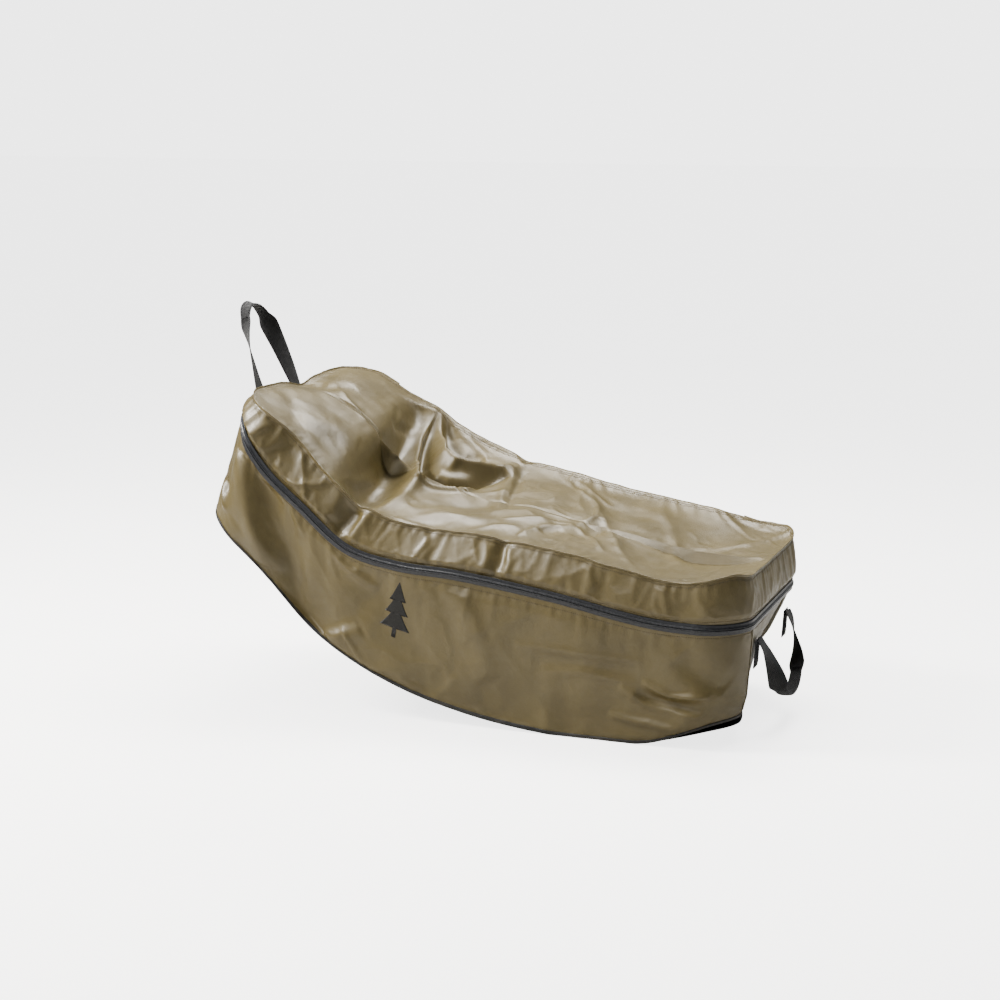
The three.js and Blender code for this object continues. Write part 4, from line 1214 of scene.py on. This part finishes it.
def build_strap(name, place, spacing, spine, widths, grip_width, body):
    """A handle's strap, folded narrower and thicker at its grip, with its sewing."""
    steps = 26
    half = [[x * spacing / 2, y, z] for x, y, z in spine]
    centre = catmull(mirrored(half), steps)
    turn = catmull(mirrored(widths), steps)
    forward = unit(np.gradient(centre, axis=0))
    across = unit(turn - forward * (turn * forward).sum(-1, keepdims=True))
    normal = np.cross(forward, across)
    share = np.linspace(0, 1, len(centre))
    grip = smooth((share - 0.30) / 0.05) * smooth((0.70 - share) / 0.05)
    fold = 1 + 1.3 * grip
    flat = webbing_section(1, WEBBING_THICKNESS)
    vertices = []
    for i in range(len(centre)):
        width = WEBBING_WIDTH + (grip_width - WEBBING_WIDTH) * grip[i]
        cupped = 0.0015 * math.sin(5 * share[i]) * (1 - (2 * flat[:, 0]) ** 2)
        sag = np.stack([flat[:, 0] * width, flat[:, 1] * fold[i] + cupped], -1)
        vertices.append(centre[i] + sag[:, :1] * across[i] + sag[:, 1:] * normal[i])
    uv = tube_uv(run_length(centre), np.linspace(0, 2 * WEBBING_WIDTH, len(flat)))
    piece = add_mesh(f"{name}_strap_web", in_frame(place, np.concatenate(vertices)),
                     tube_faces(len(centre), len(flat)), uv, webbing)
    rides(piece, body, "webbing", f"{name}_handle")

    def line(offset, first, last):
        """Two lines along the strap, one on each face, with their outward directions."""
        chosen = (share >= first) & (share <= last)
        lift = WEBBING_THICKNESS / 2 * fold[chosen][:, None] + 0.0002
        runs = []
        for sign in (1, -1):
            points = (centre[chosen] + across[chosen] * offset + sign * normal[chosen] * lift)
            direction = sign * normal[chosen]
            runs.append((in_frame(place, points), direction @ place[1]))
        return runs

    runs = []
    for offset in (-grip_width * 0.36, grip_width * 0.36):
        runs += line(offset, 0.34, 0.66)
    sewn = threads(f"{name}_grip_stitches", runs, black_thread, 0.0030, 0.0040)
    rides(sewn, body, "webbing")
    bars = []
    for middle in (0.335, 0.665):
        for step in np.linspace(-0.012, 0.012, 9):
            i = int(np.argmin(np.abs(share - middle - step)))
            reach = np.linspace(-0.5, 0.5, 8)[:, None] * grip_width * 0.9
            lift = WEBBING_THICKNESS / 2 * fold[i] + 0.0003
            for sign in (1, -1):
                points = centre[i] + across[i] * reach + sign * normal[i] * lift
                direction = np.repeat(sign * normal[i][None], len(points), 0)
                bars.append((in_frame(place, points), direction @ place[1]))
    tacks = threads(f"{name}_bar_tacks", bars, black_thread, 0.0045, 0.0040, 0.0005)
    rides(tacks, body, "webbing")


def build_foot(name, label, place):
    """The strap's sewn end: flat on the wall, with a box of stitches and a cross in it."""
    profile = catmull([[-ANCHOR_HEIGHT, 0.0017], [-0.030, 0.0019], [-0.004, 0.0018],
                       [0.0012, 0.0018], [0.0026, 0.0020]], 8)     # up the wall, out of it
    along_profile = np.gradient(profile, axis=0)
    out = unit(np.stack([-along_profile[:, 1], along_profile[:, 0]], -1))
    section = webbing_section(WEBBING_WIDTH, WEBBING_THICKNESS)
    vertices = []
    for (up, away), (tilt_up, tilt_out) in zip(profile, out):
        vertices += [(x, up + h * tilt_up, away + h * tilt_out) for x, h in section]
    uv = tube_uv(profile[:, 0], np.linspace(0, 2 * WEBBING_WIDTH, len(section)))
    piece = add_mesh(f"{name}_foot_{label}_web", in_frame(place, vertices),
                     tube_faces(len(profile), len(section)), uv, webbing)
    on_bag(piece, "webbing", f"{name}_handle_foot_{label}")
    x, low, high, lift = WEBBING_WIDTH / 2 - 0.004, -ANCHOR_HEIGHT + 0.005, -0.008, 0.0033
    corners = [(-x, low), (x, low), (x, high), (-x, high)]
    lines = list(zip(corners, corners[1:] + corners[:1])) + [(corners[0], corners[2]),
                                                             (corners[1], corners[3])]
    lines += [((-x, high + i * 0.0011), (x, high + i * 0.0011)) for i in (1, 2, 3)]
    runs = []
    for start, end in lines:
        share = np.linspace(0, 1, 12)[:, None]
        flat = np.array(start) * (1 - share) + np.array(end) * share
        points = np.concatenate([flat, np.full_like(share, lift)], axis=1)
        outward = np.repeat(place[1][2][None], len(points), 0)
        runs.append((in_frame(place, points), outward))
    on_bag(threads(f"{name}_foot_{label}_stitches", runs, black_thread, 0.0026, 0.0034), "webbing")


def build_handle(name, along, outward, middle, anchor_top, spacing, spine, widths, grip, body):
    origin, axes = end_wall_frame(along, middle, anchor_top, outward)
    pivot = (origin + np.array([0, HANDLE_RISE, HANDLE_STAND_OFF]) @ axes, axes)
    build_strap(name, pivot, spacing, spine, widths, grip, body)
    for label, sign in (("near", -1), ("far", 1)):
        y = middle + sign * spacing / 2
        build_foot(name, label, end_wall_frame(along, y, anchor_top, outward))


# ---- Emblem --------------------------------------------------------------------------------


def build_emblem():
    """A plain pine tree in place of the print on the front wall."""
    middle, foot, height = 0.718, 0.395, 0.115
    # tiers: [where it starts, half its width there, half its width at its top]
    tiers = [(0.16, 0.034, 0.010), (0.42, 0.027, 0.008), (0.66, 0.019, 0.005)]
    spine = [(0.0, 0.0045), (0.16, 0.0045)]
    for index, (start, wide, shoulder) in enumerate(tiers):
        last = index == len(tiers) - 1
        end = 1.0 if last else tiers[index + 1][0] + 0.02
        narrow = 0.0006 if last else shoulder
        steps = np.linspace(0, 1, 14)
        spine += [(start + (end - start) * t, wide + (narrow - wide) * t ** 0.85) for t in steps]
    share, half = np.array(spine).T
    across = np.linspace(-1, 1, 15)
    columns = NEAR_START + middle + half[:, None] * across
    rows = foot + share[:, None] * height / WALL_HEIGHT + 0 * across
    points = walls.at(columns, rows, 0.0002)
    piece = grid_mesh("front_emblem", points, np.stack([columns, rows * WALL_HEIGHT], -1), ink)
    on_bag(thicken(piece, 0.00025, 1.0), "coated_fabric")


# ---- Stage ---------------------------------------------------------------------------------


def place_object(name, data, place, target):
    """A camera or a light at one place, turned to a target."""
    obj = bpy.data.objects.new(name, data)
    bpy.context.scene.collection.objects.link(obj)
    obj.location = place
    obj.rotation_euler = (Vector(target) - Vector(place)).to_track_quat("-Z", "Y").to_euler()
    return obj


def add_camera():
    azimuth, elevation, distance = math.radians(20), math.radians(13), 4.6
    target = Vector((0, 0, 0.25))
    place = target + distance * Vector((math.sin(azimuth) * math.cos(elevation),
                                        -math.cos(azimuth) * math.cos(elevation),
                                        math.sin(elevation)))
    camera = bpy.data.cameras.new("camera")
    camera.lens = 77.0
    camera.sensor_width = 36.0
    camera.shift_x = 0.020
    camera.shift_y = 0.077
    bpy.context.scene.camera = place_object("camera", camera, place, target)


def add_light(name, place, target, size, power, colour):
    light = bpy.data.lights.new(name, "AREA")
    light.shape = "RECTANGLE"
    light.size, light.size_y = size
    light.energy = power
    light.color = colour
    place_object(name, light, place, target)


def add_sun():
    """A wide sun lights the floor evenly, as far as it is seen."""
    sun = bpy.data.lights.new("even_top", "SUN")
    sun.energy = 0.9
    sun.angle = math.radians(50)
    place_object("even_top", sun, (-0.3, 0.5, 3.0), (0, 0, 0))


def add_floor():
    """A pale floor that the camera sees brighter than it lights the bag."""
    reach = 30
    corners = [(-reach, -reach, 0), (reach, -reach, 0), (reach, reach, 0), (-reach, reach, 0)]
    floor = add_mesh("floor", corners, [[0, 1, 2, 3]], None, None, False)
    s = Shader("pale_floor")
    tone = s.ramp(s.noise(s.place, 1.3, 4), [(0.3, (0.60, 0.59, 0.57)), (0.7, (0.64, 0.63, 0.61))])
    s.set("Base Color", tone)
    s.set("Roughness", 0.8)
    s.set("Emission Color", (1, 1, 1))
    path = s.tree.nodes.new("ShaderNodeLightPath")
    s.set("Emission Strength", s.maths("MULTIPLY", path.outputs["Is Camera Ray"], 1.9))
    floor.data.materials.append(s.material)


def add_world():
    """A faint bluish sky for the light, and a white one past the floor for the camera."""
    world = bpy.data.worlds.new("studio")
    world.use_nodes = True
    tree = world.node_tree
    sky, seen = tree.nodes["Background"], tree.nodes.new("ShaderNodeBackground")
    for node, colour, strength in ((sky, (0.92, 0.96, 1.0, 1), 0.25), (seen, (1, 1, 1, 1), 2.3)):
        node.inputs["Color"].default_value = colour
        node.inputs["Strength"].default_value = strength
    path = tree.nodes.new("ShaderNodeLightPath")
    choose = tree.nodes.new("ShaderNodeMixShader")
    for out, socket in ((path.outputs["Is Camera Ray"], choose.inputs["Fac"]),
                        (sky.outputs["Background"], choose.inputs[1]),
                        (seen.outputs["Background"], choose.inputs[2]),
                        (choose.outputs["Shader"], tree.nodes["World Output"].inputs["Surface"])):
        tree.links.new(out, socket)
    bpy.context.scene.world = world


def add_stage():
    add_floor()
    add_world()
    bpy.context.scene.view_settings.look = "AgX - Medium High Contrast"
    white, warm = (1.0, 0.98, 0.95), (1.0, 0.97, 0.92)
    add_light("overhead", (0.3, 0.9, 2.6), (0, 0, 0.3), (2.4, 1.0), 95, white)
    add_light("head_key", (-2.2, -1.0, 2.4), (-0.1, 0, 0.35), (0.9, 0.9), 145, white)
    add_light("front_fill", (-1.1, -2.8, 2.3), (0.1, 0, 0.30), (1.8, 0.9), 32, warm)
    add_sun()


def finish_cad_nodes():
    """The CAD nodes that stay in view get their own materials."""
    for name, material in (("zip_slider", metal), ("zip_pull_tab", webbing),
                           ("zip_stop_head", plastic), ("zip_stop_tail", plastic)):
        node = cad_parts[name]
        node.data.materials.clear()
        node.data.materials.append(material)


add_camera()
build_wall_pieces()
build_band_pieces()
build_lid_top_piece()
build_base()
build_binding()
build_corner_tapes()
build_zip()
build_rim_seam()
build_stitches()
build_handle("head", EDGE_LENGTH, -1, HEAD_HANDLE_SHIFT, HEAD_ANCHOR_TOP, HEAD_ANCHOR_SPACING,
             HEAD_SPINE, HEAD_WIDTHS, GRIP_WIDTH, "head_strap")
build_handle("tail", 0.0, 1, 0.0, TAIL_ANCHOR_TOP, TAIL_ANCHOR_SPACING,
             TAIL_SPINE, TAIL_WIDTHS, GRIP_WIDTH, "tail_strap")
build_emblem()
finish_cad_nodes()
add_stage()
